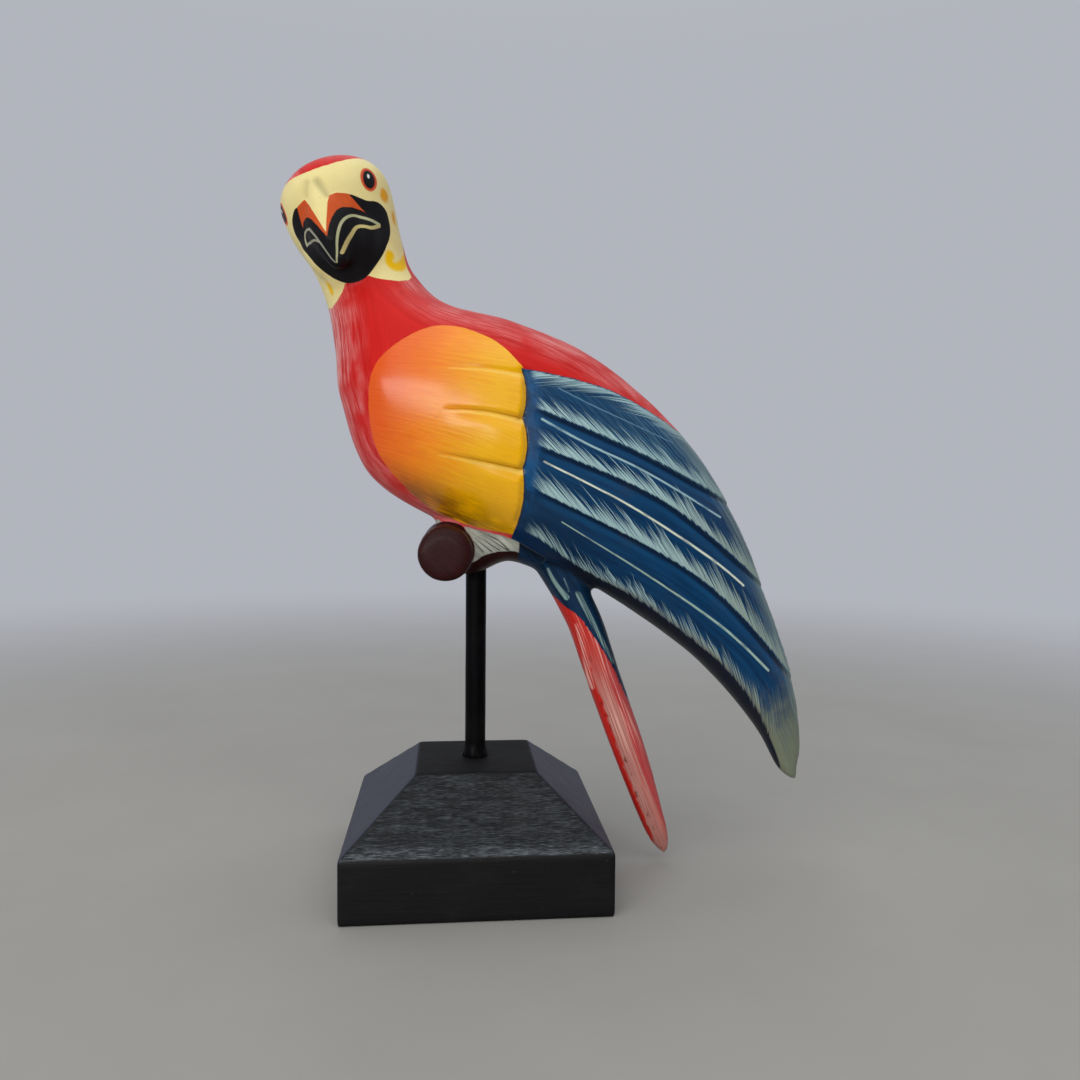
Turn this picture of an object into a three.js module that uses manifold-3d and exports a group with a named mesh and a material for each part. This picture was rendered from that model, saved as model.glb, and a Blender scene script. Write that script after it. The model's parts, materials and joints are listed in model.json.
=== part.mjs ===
import * as THREE from 'three';
import { mergeVertices } from 'three/addons/utils/BufferGeometryUtils.js';
import Module from 'manifold-3d';

const wasm = await Module();
wasm.setup();

// A carved wooden parrot on a black rod and a black block.
// Sizes are millimetres, +Z is up and the origin is the middle of the block's underside.
// The bird's chest faces -X, its tail +X and its left side -Y, the side that it looks towards.

// The block: an upright skirt with a sloped top, all edges eased.
const BASE_SIDE = 96;
const BASE_SKIRT = 22.6;
const BASE_HEIGHT = 44.6;
const BASE_TOP_SIDE = 44.6;
const BASE_EASE = 1.2;
const BASE_CORNER = 2.4;

// The rod, pushed into a blind hole at each end.
const ROD_RADIUS = 4;
const ROD_FOOT = 24;
const ROD_TOP = 133;
const FIT_GAP = 0.3;

// The stub of branch under the feet, carved in one with the bird, along Y.
const PERCH_RADIUS = 9.8;
const PERCH_LENGTH = 76;
const PERCH_EASE = 1.7;
const PERCH_X = -11.8;
const PERCH_Z = 126.6;

// The bird's stations. Each is a slice across the wood between a front and a back point (x, z),
// with its half width, how full the slice is at the front and at the back, and its shift in y.
// A fullness of 0.5 is an ellipse, less is squarer and more is keener.
const BODY = [
  { at: 'eyes', front: [-72.6, 249.2], back: [-33.2, 262.4], half: 20, full: [0.5, 0.5], shift: -3 },
  { at: 'cheek', front: [-68.2, 239.9], back: [-30.8, 252.6], half: 19, full: [0.5, 0.5], shift: -2.5 },
  { at: 'throat', front: [-61.6, 230.6], back: [-28.6, 242.5], half: 17, full: [0.5, 0.5], shift: -1.5 },
  { at: 'neck', front: [-57.6, 221], back: [-24, 230.9], half: 16.5, full: [0.5, 0.5], shift: -0.5 },
  { at: 'nape', front: [-55.4, 212.5], back: [-10.8, 219.4], half: 22, full: [0.5, 0.5] },
  { at: 'shoulder', front: [-53.6, 200], back: [15.8, 213], half: 28.5, full: [0.47, 0.5] },
  { at: 'breast', front: [-51.2, 181.5], back: [43.8, 201.7], half: 34, full: [0.41, 0.5] },
  { at: 'belly', front: [-39.6, 153.4], back: [69.9, 182.6], half: 34.5, full: [0.39, 0.54] },
  { at: 'rump', front: [-8, 134.6], back: [91.2, 159.3], half: 30, full: [0.41, 0.6] },
  { at: 'vent', front: [29, 121], back: [107.1, 132], half: 23.5, full: [0.4, 0.66] },
  { at: 'wing', front: [61.6, 102.2], back: [119.5, 101.3], half: 17.5, full: [0.36, 0.72] },
  { at: 'primaries', front: [89.8, 81.3], back: [129.3, 72.8], half: 12, full: [0.36, 0.72] },
  { at: 'point', front: [112, 56.8], back: [132.6, 48.1], half: 7.5, full: [0.4, 0.6] },
  { at: 'tip', front: [121.8, 40], back: [131.2, 36], half: 4.5, full: [0.45, 0.5] },
];
const CROWN = { height: 15.6, lean: [-0.3, 0.95], power: 2.2, rings: 6 };
const WING_TIP = { height: 6, lean: [0.42, -0.9], power: 2, rings: 3 };

const TAIL = [
  { at: 'root', front: [14, 130], back: [50, 128], half: 13, full: [0.45, 0.45] },
  { at: 'under', front: [25.7, 114.8], back: [43.2, 116], half: 11.5, full: [0.42, 0.42] },
  { at: 'upper', front: [36.6, 95.2], back: [50.3, 98.2], half: 9.5, full: [0.4, 0.4] },
  { at: 'middle', front: [44.5, 73], back: [57.2, 77.4], half: 8.5, full: [0.38, 0.38] },
  { at: 'lower', front: [57, 39.9], back: [68.8, 44.5], half: 7.5, full: [0.38, 0.38] },
  { at: 'end', front: [68.2, 13.2], back: [76.9, 16.5], half: 5, full: [0.42, 0.42] },
];
const TAIL_TIP = { height: 13.2, lean: [0.37, -0.93], power: 1.5, rings: 4 };

const FEET = [
  { at: 'toes', front: [-18, 122], back: [-14, 142], half: 12, full: [0.4, 0.4] },
  { at: 'perch', front: [-10, 117.2], back: [-6, 142], half: 18, full: [0.32, 0.4] },
  { at: 'rod', front: [0, 117.5], back: [6, 142], half: 20, full: [0.3, 0.4] },
  { at: 'arch', front: [11.5, 122], back: [18, 142], half: 19, full: [0.3, 0.4] },
  { at: 'heel', front: [22, 119], back: [36, 138], half: 14, full: [0.36, 0.4] },
];

// The beak's stations are in the head's own frame: forward, up and half width from between the eyes.
const HEAD_CENTRE = [-53, -3, 255.5];
const HEAD_TILT = THREE.MathUtils.degToRad(18);
const HEAD_TURN = THREE.MathUtils.degToRad(77);
const UPPER_BEAK = [
  { at: 'brow', front: [17, 10], back: [8, 3], half: 3, full: [0.6, 0.42] },
  { at: 'cere', front: [21, 1], back: [9, -4], half: 6.5, full: [0.62, 0.42] },
  { at: 'bridge', front: [24.6, -8.5], back: [9.5, -11], half: 9.5, full: [0.62, 0.4] },
  { at: 'hook', front: [26.4, -17.5], back: [13, -18], half: 7.5, full: [0.58, 0.42] },
  { at: 'point', front: [24.8, -24], back: [16.5, -24], half: 4.6, full: [0.52, 0.5] },
];
const UPPER_TIP = { height: 4.6, lean: [0.13, -0.99], power: 2, rings: 3 };
const LOWER_BEAK = [
  { at: 'gape', front: [15, -5], back: [1, -7], half: 12.5, full: [0.5, 0.5] },
  { at: 'mouth', front: [18.6, -13], back: [0, -14], half: 15, full: [0.48, 0.5] },
  { at: 'jaw', front: [19.4, -21], back: [0, -23], half: 13.5, full: [0.45, 0.5] },
  { at: 'chin', front: [16, -28], back: [1, -30], half: 9.5, full: [0.45, 0.5] },
];
const LOWER_TIP = { height: 4.4, lean: [0.1, -0.99], power: 2, rings: 3 };

// Carved lines, drawn on the side view as (x, z): where each starts, bends and ends.
// Three cuts part the wing into four long feathers and run out over the ridge of the back.
const FEATHER_LINES = [
  { from: [21, 177.6], bend: [60, 162.8], to: [99.5, 145] },
  { from: [21, 164.6], bend: [70, 144.5], to: [114, 112.8] },
  { from: [21, 148.6], bend: [85, 115.5], to: [128, 74.6] },
];
// Three more part the shoulder into pads and fade out towards the chest.
const PAD_LINES = [
  { from: [-11, 192.8], bend: [2.5, 192.4], to: [15.6, 191] },
  { from: [-13, 177.7], bend: [2.5, 177], to: [15.8, 174.6] },
  { from: [-14, 162.4], bend: [1, 159.4], to: [16, 156.2] },
];
// The pads end on a scalloped step down to the wing.
const SCALLOP_CUSPS = [
  [15, 192.6],
  [15.3, 174.9],
  [15.5, 156.8],
  [12.9, 133.5],
];
const SCALLOP_BULGE = 1.6;
// A cut is a steep wall on its line and a slope beside it that runs out, on the side that slopeWay names.
// Its depth is start (as a share) where it begins and finish where it ends, and grows to full between
// them over the share of its length that fade names.
const FEATHER_CUT = { depth: 1.5, slope: 6.5, start: 0.4, finish: 0.4, fade: 0.25, slopeWay: [-0.4, 0, -1] };
const PAD_CUT = { depth: 1.5, slope: 5.5, start: 0, finish: 1, fade: 1, slopeWay: [0, 0, -1] };
const STEP_CUT = { depth: 1.2, slope: 5.5, start: 1, finish: 1, fade: 1, slopeWay: [1, 0, 0] };

// How finely each form is faceted: rings along it and sides round it.
const BODY_RINGS = 46;
const BODY_SIDES = 38;
const TAIL_RINGS = 18;
const FEET_RINGS = 12;
const UPPER_BEAK_RINGS = 11;
const LOWER_BEAK_RINGS = 8;
const LIMB_SIDES = 18;
const ROUND_SIDES = 32;
const CORNER_STEPS = 3;
const CUT_STEPS = 12;
// How far a cutting tool stands clear of the wood before it goes in, on a carved line and on a hole.
const CUT_LIFT = 1.2;
const HOLE_LIFT = 10;

const BASE_PAINT = { color: 0x1b1a1e, roughness: 0.5 };
const ROD_PAINT = { color: 0x131215, roughness: 0.4 };
const PARROT_PAINT = { color: 0xc8322d, roughness: 0.45 };

// A geometry as a solid, with its doubled points joined and its faces turned outwards.
function solidOf(geometry) {
  const bare = new THREE.BufferGeometry();
  bare.setAttribute('position', geometry.getAttribute('position'));
  bare.setIndex(geometry.getIndex());
  const merged = mergeVertices(bare, 1e-4);
  const place = merged.getAttribute('position');
  const index = merged.getIndex().array;
  const corner = [new THREE.Vector3(), new THREE.Vector3(), new THREE.Vector3()];
  const triangles = [];
  let volume = 0;
  for (let i = 0; i < index.length; i += 3) {
    const [a, b, c] = index.slice(i, i + 3);
    if (a !== b && b !== c && c !== a) {
      triangles.push(a, b, c);
      [a, b, c].forEach((vertex, k) => corner[k].fromBufferAttribute(place, vertex));
      volume += corner[0].dot(corner[1].cross(corner[2]));
    }
  }
  if (volume < 0) triangles.reverse();
  const vertProperties = new Float32Array(place.array);
  const triVerts = new Uint32Array(triangles);
  return new wasm.Manifold(new wasm.Mesh({ numProp: 3, vertProperties, triVerts }));
}

// A skin over a stack of rings with equal numbers of points, closed on a point at both ends.
function skin(rings, firstEnd, lastEnd) {
  const sides = rings[0].length;
  const points = [firstEnd, ...rings.flat(), lastEnd];
  const lastPoint = points.length - 1;
  const triangles = [];
  for (let side = 0; side < sides; side++) {
    const next = (side + 1) % sides;
    triangles.push(0, 1 + next, 1 + side);
    triangles.push(lastPoint, lastPoint - sides + side, lastPoint - sides + next);
    for (let ring = 0; ring < rings.length - 1; ring++) {
      const row = 1 + ring * sides;
      triangles.push(row + side, row + next, row + sides + next);
      triangles.push(row + side, row + sides + next, row + sides + side);
    }
  }
  return new THREE.BufferGeometry().setFromPoints(points).setIndex(triangles);
}

// Smooth lines through a set of stations, from the first (t = 0) to the last (t = 1).
function linesThrough(stations) {
  const line = (pick) => new THREE.SplineCurve(stations.map((s) => new THREE.Vector2(...pick(s))));
  return {
    front: line((s) => s.front),
    back: line((s) => s.back),
    width: line((s) => [s.half, s.shift ?? 0]),
    full: line((s) => s.full),
  };
}

// The slice at t, ready to be drawn.
function sliceAt(lines, t) {
  const front = lines.front.getPoint(t);
  const back = lines.back.getPoint(t);
  const width = lines.width.getPoint(t);
  const full = lines.full.getPoint(t);
  return {
    middle: front.clone().add(back).multiplyScalar(0.5),
    reach: back.clone().sub(front).multiplyScalar(0.5),
    half: width.x,
    shift: width.y,
    full: [full.x, full.y],
  };
}

// The half width of a slice as a share of its widest, at u from -1 (front) to 1 (back).
function bulgeAt(full, u) {
  const [front, back] = full;
  const shape = (v) => (1 + v) ** front * (1 - v) ** back;
  return shape(THREE.MathUtils.clamp(u, -1, 1)) / shape((front - back) / (front + back));
}

function slicePoint(slice, angle) {
  const u = Math.cos(angle);
  const width = slice.half * bulgeAt(slice.full, u) * Math.sign(Math.round(Math.sin(angle) * 1e6));
  const x = slice.middle.x + slice.reach.x * u;
  const z = slice.middle.y + slice.reach.y * u;
  return new THREE.Vector3(x, slice.shift + width, z);
}

function sliceRing(slice, sides) {
  return Array.from({ length: sides }, (_, i) => slicePoint(slice, (i / sides) * 2 * Math.PI));
}

// Shrinking copies of an end slice that round it off, and the point where they close.
function domeOn(slice, dome) {
  const lean = new THREE.Vector2(...dome.lean).setLength(dome.height);
  const raised = (share, size) => ({
    ...slice,
    middle: slice.middle.clone().addScaledVector(lean, share),
    reach: slice.reach.clone().multiplyScalar(size),
    half: slice.half * size,
  });
  const slices = [];
  for (let step = 1; step <= dome.rings; step++) {
    const share = Math.sin((Math.PI / 2) * (step / (dome.rings + 1)));
    slices.push(raised(share, (1 - share ** dome.power) ** (1 / dome.power)));
  }
  return { slices, end: slicePoint(raised(1, 0), 0) };
}

// A solid skinned over stations, with an optional dome at either end.
function stationSolid(stations, rings, sides, startDome, endDome, frame = new THREE.Matrix4()) {
  const lines = linesThrough(stations);
  const slices = Array.from({ length: rings }, (_, i) => sliceAt(lines, i / (rings - 1)));
  const flatEnd = ({ middle, shift }) => ({ slices: [], end: new THREE.Vector3(middle.x, shift, middle.y) });
  const start = startDome ? domeOn(slices[0], startDome) : flatEnd(slices[0]);
  const end = endDome ? domeOn(slices[rings - 1], endDome) : flatEnd(slices[rings - 1]);
  const all = [...start.slices.reverse(), ...slices, ...end.slices];
  const geometry = skin(all.map((slice) => sliceRing(slice, sides)), start.end, end.end);
  return solidOf(geometry.applyMatrix4(frame));
}

// The point on the bird's side that shows at (x, z) in the side view, and the way it faces.
const BODY_LINES = linesThrough(BODY);
function sidePoint(x, z, side) {
  let low = 0.3;
  let high = 1;
  for (let step = 0; step < 40; step++) {
    const slice = sliceAt(BODY_LINES, (low + high) / 2);
    const away = new THREE.Vector2(x, z).sub(slice.middle);
    if (slice.reach.cross(away) > 0) high = (low + high) / 2;
    else low = (low + high) / 2;
  }
  const t = (low + high) / 2;
  const slice = sliceAt(BODY_LINES, t);
  const u = new THREE.Vector2(x, z).sub(slice.middle).dot(slice.reach) / slice.reach.lengthSq();
  const angle = Math.acos(THREE.MathUtils.clamp(u, -0.995, 0.995));
  const point = slicePoint(slice, angle);
  const along = slicePoint(sliceAt(BODY_LINES, t - 0.004), angle).sub(point);
  const across = slicePoint(slice, angle + 0.03).sub(slicePoint(slice, angle - 0.03));
  const facing = along.cross(across).normalize();
  if (facing.y < 0) facing.negate();
  // The right side is the mirror image of the left.
  point.y = Math.abs(point.y) * side;
  facing.y *= side;
  return { point, facing };
}

// The wedge that cuts one line into the bird's side.
function carvedLine(drawn, cut, side) {
  const slopeWay = new THREE.Vector3(...cut.slopeWay);
  const spots = drawn.map(([x, z]) => sidePoint(x, z, side));
  const rings = spots.map(({ point, facing }, i) => {
    const before = spots[Math.max(i - 1, 0)].point;
    const after = spots[Math.min(i + 1, spots.length - 1)].point;
    const run = after.clone().sub(before).cross(facing).setLength(cut.slope * (1 + CUT_LIFT / cut.depth));
    if (run.dot(slopeWay) < 0) run.negate();
    const share = i / (spots.length - 1);
    const grown = Math.min(1, cut.start + ((1 - cut.start) * share) / cut.fade);
    const left = Math.min(1, cut.finish + ((1 - cut.finish) * (1 - share)) / cut.fade);
    const depth = cut.depth * Math.min(grown, left);
    const lip = point.clone().addScaledVector(facing, CUT_LIFT);
    const bottom = point.clone().addScaledVector(facing, -depth);
    return [lip, bottom, lip.clone().add(run)];
  });
  const centre = (ring) => ring[0].clone().add(ring[1]).add(ring[2]).divideScalar(3);
  return solidOf(skin(rings, centre(rings[0]), centre(rings[rings.length - 1])));
}

function bentLine({ from, bend, to }) {
  const [start, middle, end] = [from, bend, to].map((p) => new THREE.Vector2(...p));
  const control = middle.multiplyScalar(2).addScaledVector(start, -0.5).addScaledVector(end, -0.5);
  const curve = new THREE.QuadraticBezierCurve(start, control, end);
  return curve.getPoints(CUT_STEPS).map((p) => [p.x, p.y]);
}

function scallopedLine() {
  const steps = CUT_STEPS / 2;
  const line = [];
  for (let i = 0; i < SCALLOP_CUSPS.length - 1; i++) {
    const [[x0, z0], [x1, z1]] = [SCALLOP_CUSPS[i], SCALLOP_CUSPS[i + 1]];
    for (let step = 0; step < steps; step++) {
      const f = step / steps;
      const bulge = SCALLOP_BULGE * Math.sin(Math.PI * f);
      line.push([x0 + (x1 - x0) * f + bulge, z0 + (z1 - z0) * f]);
    }
  }
  return [...line, SCALLOP_CUSPS[SCALLOP_CUSPS.length - 1]];
}

// Every cut on one side of the bird.
function carvingOn(side) {
  return [
    ...FEATHER_LINES.map((line) => carvedLine(bentLine(line), FEATHER_CUT, side)),
    ...PAD_LINES.map((line) => carvedLine(bentLine(line), PAD_CUT, side)),
    carvedLine(scallopedLine(), STEP_CUT, side),
  ];
}

function roundBar(radius, bottom, top) {
  const bar = new THREE.CylinderGeometry(radius, radius, top - bottom, ROUND_SIDES);
  return solidOf(bar.rotateX(Math.PI / 2).translate(0, 0, (top + bottom) / 2));
}

function perchSolid() {
  const end = PERCH_LENGTH / 2;
  const profile = [
    [0, -end],
    [PERCH_RADIUS - PERCH_EASE, -end],
    [PERCH_RADIUS, PERCH_EASE - end],
    [PERCH_RADIUS, end - PERCH_EASE],
    [PERCH_RADIUS - PERCH_EASE, end],
    [0, end],
  ];
  const lathe = new THREE.LatheGeometry(profile.map((p) => new THREE.Vector2(...p)), ROUND_SIDES);
  return solidOf(lathe.translate(PERCH_X, 0, PERCH_Z));
}

// Forward, left and up for the head, which is tilted back and turned to look over the bird's side.
function headFrame() {
  const turn = new THREE.Matrix4().makeRotationZ(Math.PI + HEAD_TURN);
  const tilt = new THREE.Matrix4().makeRotationY(-HEAD_TILT);
  const place = new THREE.Matrix4().makeTranslation(...HEAD_CENTRE);
  return place.multiply(tilt).multiply(turn);
}

function parrotSolid() {
  const head = headFrame();
  const wood = [
    stationSolid(TAIL, TAIL_RINGS, LIMB_SIDES, null, TAIL_TIP),
    stationSolid(FEET, FEET_RINGS, LIMB_SIDES, null, null),
    perchSolid(),
    stationSolid(UPPER_BEAK, UPPER_BEAK_RINGS, LIMB_SIDES, null, UPPER_TIP, head),
    stationSolid(LOWER_BEAK, LOWER_BEAK_RINGS, LIMB_SIDES, null, LOWER_TIP, head),
  ];
  const body = stationSolid(BODY, BODY_RINGS, BODY_SIDES, CROWN, WING_TIP);
  const whole = wood.reduce((sum, piece) => sum.add(piece), body);
  const rodHole = roundBar(ROD_RADIUS + FIT_GAP, PERCH_Z - PERCH_RADIUS - HOLE_LIFT, ROD_TOP + FIT_GAP);
  const cuts = [...carvingOn(-1), ...carvingOn(1), rodHole];
  return cuts.reduce((left, cut) => left.subtract(cut), whole);
}

function roundedSquare(side, corner, height) {
  const ring = [];
  for (let quarter = 0; quarter < 4; quarter++) {
    const turn = (quarter * Math.PI) / 2;
    const centre = new THREE.Vector3(side / 2 - corner, side / 2 - corner, height);
    centre.applyAxisAngle(new THREE.Vector3(0, 0, 1), turn);
    for (let step = 0; step <= CORNER_STEPS; step++) {
      const angle = turn + (step / CORNER_STEPS) * (Math.PI / 2);
      ring.push(new THREE.Vector3(Math.cos(angle), Math.sin(angle), 0).multiplyScalar(corner).add(centre));
    }
  }
  return ring;
}

function baseSolid() {
  const lean = Math.atan2(BASE_HEIGHT - BASE_SKIRT, (BASE_SIDE - BASE_TOP_SIDE) / 2);
  const inwards = BASE_EASE * 2 * Math.cos(lean);
  const upwards = BASE_EASE * Math.sin(lean);
  const levels = [
    [BASE_SIDE - BASE_EASE, 0],
    [BASE_SIDE, BASE_EASE / 2],
    [BASE_SIDE, BASE_SKIRT - BASE_EASE],
    [BASE_SIDE - inwards, BASE_SKIRT + upwards],
    [BASE_TOP_SIDE + inwards, BASE_HEIGHT - upwards],
    [BASE_TOP_SIDE - BASE_EASE * 2, BASE_HEIGHT],
  ];
  const rings = levels.map(([side, height]) => roundedSquare(side, BASE_CORNER, height));
  const block = skin(rings, new THREE.Vector3(0, 0, 0), new THREE.Vector3(0, 0, BASE_HEIGHT));
  return solidOf(block).subtract(roundBar(ROD_RADIUS + FIT_GAP, ROD_FOOT - FIT_GAP, BASE_HEIGHT + HOLE_LIFT));
}

function meshOf(name, solid, paint) {
  const { vertProperties, triVerts } = solid.getMesh();
  const geometry = new THREE.BufferGeometry();
  geometry.setAttribute('position', new THREE.BufferAttribute(vertProperties, 3));
  geometry.setIndex(new THREE.BufferAttribute(triVerts, 1));
  geometry.computeVertexNormals();
  const mesh = new THREE.Mesh(geometry, new THREE.MeshStandardMaterial(paint));
  mesh.name = name;
  return mesh;
}

const part = new THREE.Group();
part.add(meshOf('base', baseSolid(), BASE_PAINT));
part.add(meshOf('rod', roundBar(ROD_RADIUS, ROD_FOOT, ROD_TOP), ROD_PAINT));
part.add(meshOf('parrot', parrotSolid(), PARROT_PAINT));

export default part;
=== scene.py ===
# %% [markdown]
# # A carved, painted parrot on a stand
# The real thing is three pieces of wood: a black block, a black dowel and a bird carved in one with
# the stub of branch that it sits on. The solids from the CAD step give the frame. Each piece is made
# again here, finer and in the same place, and then painted. Shapes are worked out in millimetres,
# because that is how a carver would measure them, and become metres when a mesh is made.

# %% Load the frame
import json
import math

import bmesh
import bpy
import numpy as np
from mathutils import Matrix, Vector, noise
from mathutils.bvhtree import BVHTree

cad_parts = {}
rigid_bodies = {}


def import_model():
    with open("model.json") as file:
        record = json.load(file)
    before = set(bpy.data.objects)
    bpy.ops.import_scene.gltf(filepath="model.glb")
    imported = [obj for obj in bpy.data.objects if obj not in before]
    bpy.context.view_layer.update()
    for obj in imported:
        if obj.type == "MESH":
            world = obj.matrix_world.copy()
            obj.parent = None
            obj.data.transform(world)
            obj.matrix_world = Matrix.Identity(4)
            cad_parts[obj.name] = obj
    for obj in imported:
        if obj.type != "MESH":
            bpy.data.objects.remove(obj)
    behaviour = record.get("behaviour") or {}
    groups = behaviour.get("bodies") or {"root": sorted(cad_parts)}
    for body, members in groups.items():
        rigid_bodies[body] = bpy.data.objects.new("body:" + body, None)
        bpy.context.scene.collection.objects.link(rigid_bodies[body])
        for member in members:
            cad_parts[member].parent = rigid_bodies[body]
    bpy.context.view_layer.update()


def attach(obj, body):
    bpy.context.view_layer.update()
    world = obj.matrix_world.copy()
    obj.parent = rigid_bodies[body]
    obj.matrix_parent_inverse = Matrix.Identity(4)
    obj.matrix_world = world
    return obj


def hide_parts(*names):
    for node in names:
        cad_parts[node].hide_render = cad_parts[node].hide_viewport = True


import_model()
MM = 0.001


def in_scene(name, data):
    """A new object that shows the data."""
    made = bpy.data.objects.new(name, data)
    bpy.context.collection.objects.link(made)
    return made


# %% [markdown]
# ## The bird's form
# A carver starts from a sawn outline and rounds it over. The mesh does the same: at a few stations a
# slice runs from a front point to a back point of the outline, as wide as the wood is there, and a
# skin is drawn smoothly through the slices. A sculpted mesh could look the same, but stations keep
# the outline exact and can be changed by hand.

# %% Stations of the carving
# front x, z; back x, z; half width; fullness at the front and the back (0.5 is an ellipse); shift in y
BODY = [
    (-72.6, 249.2, -33.2, 262.4, 20.0, 0.50, 0.50, -3.0),  # eyes
    (-68.2, 239.9, -30.8, 252.6, 19.0, 0.50, 0.50, -2.5),  # cheek
    (-61.6, 230.6, -28.6, 242.5, 17.0, 0.50, 0.50, -1.5),  # throat
    (-57.6, 221.0, -24.0, 230.9, 16.5, 0.50, 0.50, -0.5),  # neck
    (-55.4, 212.5, -10.8, 219.4, 22.0, 0.50, 0.50, 0.0),  # nape
    (-53.6, 200.0, 15.8, 213.0, 28.5, 0.47, 0.50, 0.0),  # shoulder
    (-51.2, 181.5, 43.8, 201.7, 34.0, 0.41, 0.50, 0.0),  # breast
    (-39.6, 153.4, 69.9, 182.6, 34.5, 0.39, 0.54, 0.0),  # belly
    (-8.0, 134.6, 91.2, 159.3, 30.0, 0.41, 0.60, 0.0),  # rump
    (29.0, 121.0, 107.1, 132.0, 23.5, 0.40, 0.66, 0.0),  # vent
    (61.6, 102.2, 119.5, 101.3, 17.5, 0.36, 0.72, 0.0),  # wing
    (89.8, 81.3, 129.3, 72.8, 12.0, 0.36, 0.72, 0.0),  # primaries
    (112.0, 56.8, 132.6, 48.1, 7.5, 0.40, 0.60, 0.0),  # point
    (121.8, 40.0, 131.2, 36.0, 4.5, 0.45, 0.50, 0.0),  # tip
]
TAIL = [
    (14.0, 130.0, 50.0, 128.0, 13.0, 0.45, 0.45, 0.0),  # root
    (25.7, 114.8, 43.2, 116.0, 11.5, 0.42, 0.42, 0.0),  # under the wings
    (36.6, 95.2, 50.3, 98.2, 9.5, 0.40, 0.40, 0.0),
    (44.5, 73.0, 57.2, 77.4, 8.5, 0.38, 0.38, 0.0),
    (57.0, 39.9, 68.8, 44.5, 7.5, 0.38, 0.38, 0.0),
    (68.2, 13.2, 76.9, 16.5, 5.0, 0.42, 0.42, 0.0),  # end
]
FEET = [
    (-18.0, 122.0, -14.0, 142.0, 12.0, 0.40, 0.40, 0.0),  # toes
    (-10.0, 117.2, -6.0, 142.0, 18.0, 0.32, 0.40, 0.0),  # over the branch
    (0.0, 117.5, 6.0, 142.0, 20.0, 0.30, 0.40, 0.0),  # over the rod
    (11.5, 122.0, 18.0, 142.0, 19.0, 0.30, 0.40, 0.0),  # arch
    (22.0, 119.0, 36.0, 138.0, 14.0, 0.36, 0.40, 0.0),  # heel
]
# The beak is in the head's own frame: forward, up, and sideways from between the eyes.
UPPER_BEAK = [
    (17.0, 10.0, 8.0, 3.0, 3.0, 0.60, 0.42, 0.0),  # brow
    (21.0, 1.0, 9.0, -4.0, 6.5, 0.62, 0.42, 0.0),  # cere
    (24.6, -8.5, 9.5, -11.0, 9.5, 0.62, 0.40, 0.0),  # bridge
    (26.4, -17.5, 13.0, -18.0, 7.5, 0.58, 0.42, 0.0),  # hook
    (24.8, -24.0, 16.5, -24.0, 4.6, 0.52, 0.50, 0.0),  # point
]
LOWER_BEAK = [
    (15.0, -5.0, 1.0, -7.0, 12.5, 0.50, 0.50, 0.0),  # gape
    (18.6, -13.0, 0.0, -14.0, 15.0, 0.48, 0.50, 0.0),  # mouth
    (19.4, -21.0, 0.0, -23.0, 13.5, 0.45, 0.50, 0.0),  # jaw
    (16.0, -28.0, 1.0, -30.0, 9.5, 0.45, 0.50, 0.0),  # chin
]
# how an end is rounded off: lean x, lean z, height, power
CROWN = (-0.30, 0.95, 15.6, 2.2)
WING_TIP = (0.42, -0.9, 6.0, 2.0)
TAIL_TIP = (0.37, -0.93, 13.2, 1.5)
UPPER_TIP = (0.13, -0.99, 4.6, 2.0)
LOWER_TIP = (0.10, -0.99, 4.4, 2.0)
PERCH_X, PERCH_Z, PERCH_RADIUS, PERCH_HALF, PERCH_EASE = -11.8, 126.6, 9.8, 38.0, 2.0
HEAD_CENTRE = np.array([-53.0, -3.0, 255.5])
HEAD_TILT, HEAD_TURN = math.radians(18), math.radians(77)
HEAD_FRAME = Matrix.Rotation(-HEAD_TILT, 3, "Y") @ Matrix.Rotation(math.pi + HEAD_TURN, 3, "Z")
HEAD_AXES = np.array(HEAD_FRAME)
beak_stations = len(UPPER_BEAK) + len(LOWER_BEAK)
print("stations:", len(BODY), "body,", len(TAIL), "tail,", len(FEET), "feet,", beak_stations, "beak")


# %% Skin stations with a smooth surface
def through(stations, count, closed=False):
    """Rows along a smooth curve through the stations."""
    rows = np.array(stations, dtype=float)
    last = len(rows) if closed else len(rows) - 1
    place = np.linspace(0, last, count)
    near = place.astype(int)
    w = (place - near)[:, None]
    ends = np.arange(-1, len(rows) + 3)
    order = ends % len(rows) if closed else np.clip(ends, 0, len(rows) - 1)
    before, here, after, beyond = (rows[order[near + k]] for k in range(4))
    leave, arrive = (after - before) / 2, (beyond - here) / 2
    cubic = 2 * here - 2 * after + leave + arrive
    square = 3 * after - 3 * here - 2 * leave - arrive
    return cubic * w**3 + square * w**2 + leave * w + here


def slice_ring(row, sides):
    front, back, half, (full_front, full_back), shift = row[0:2], row[2:4], row[4], row[5:7], row[7]
    turn = np.arange(sides) * 2 * np.pi / sides
    u = np.cos(turn)
    widest = (full_front - full_back) / (full_front + full_back)
    most = (1 + widest) ** full_front * (1 - widest) ** full_back
    bulge = np.maximum(1 + u, 0) ** full_front * np.maximum(1 - u, 0) ** full_back / most
    x, z = ((front + back)[:, None] + (back - front)[:, None] * u) / 2
    return np.stack([x, shift + np.sign(np.round(np.sin(turn), 6)) * bulge * half, z], axis=1)


LEAST_SIZE = 1e-3


def domed(row, dome, rings):
    """Shrinking copies of an end slice that round it off, from the slice to the closing point."""
    lean = np.array(dome[:2]) * dome[2]
    rows = []
    for step in range(1, rings + 1):
        share = math.sin(math.pi / 2 * step / rings)
        size = max(1 - share ** dome[3], 0) ** (1 / dome[3])
        size = max(size, LEAST_SIZE)
        middle, reach = (row[0:2] + row[2:4]) / 2 + lean * share, (row[2:4] - row[0:2]) / 2 * size
        rows.append(np.concatenate([middle - reach, middle + reach, [row[4] * size], row[5:]]))
    return rows


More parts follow.
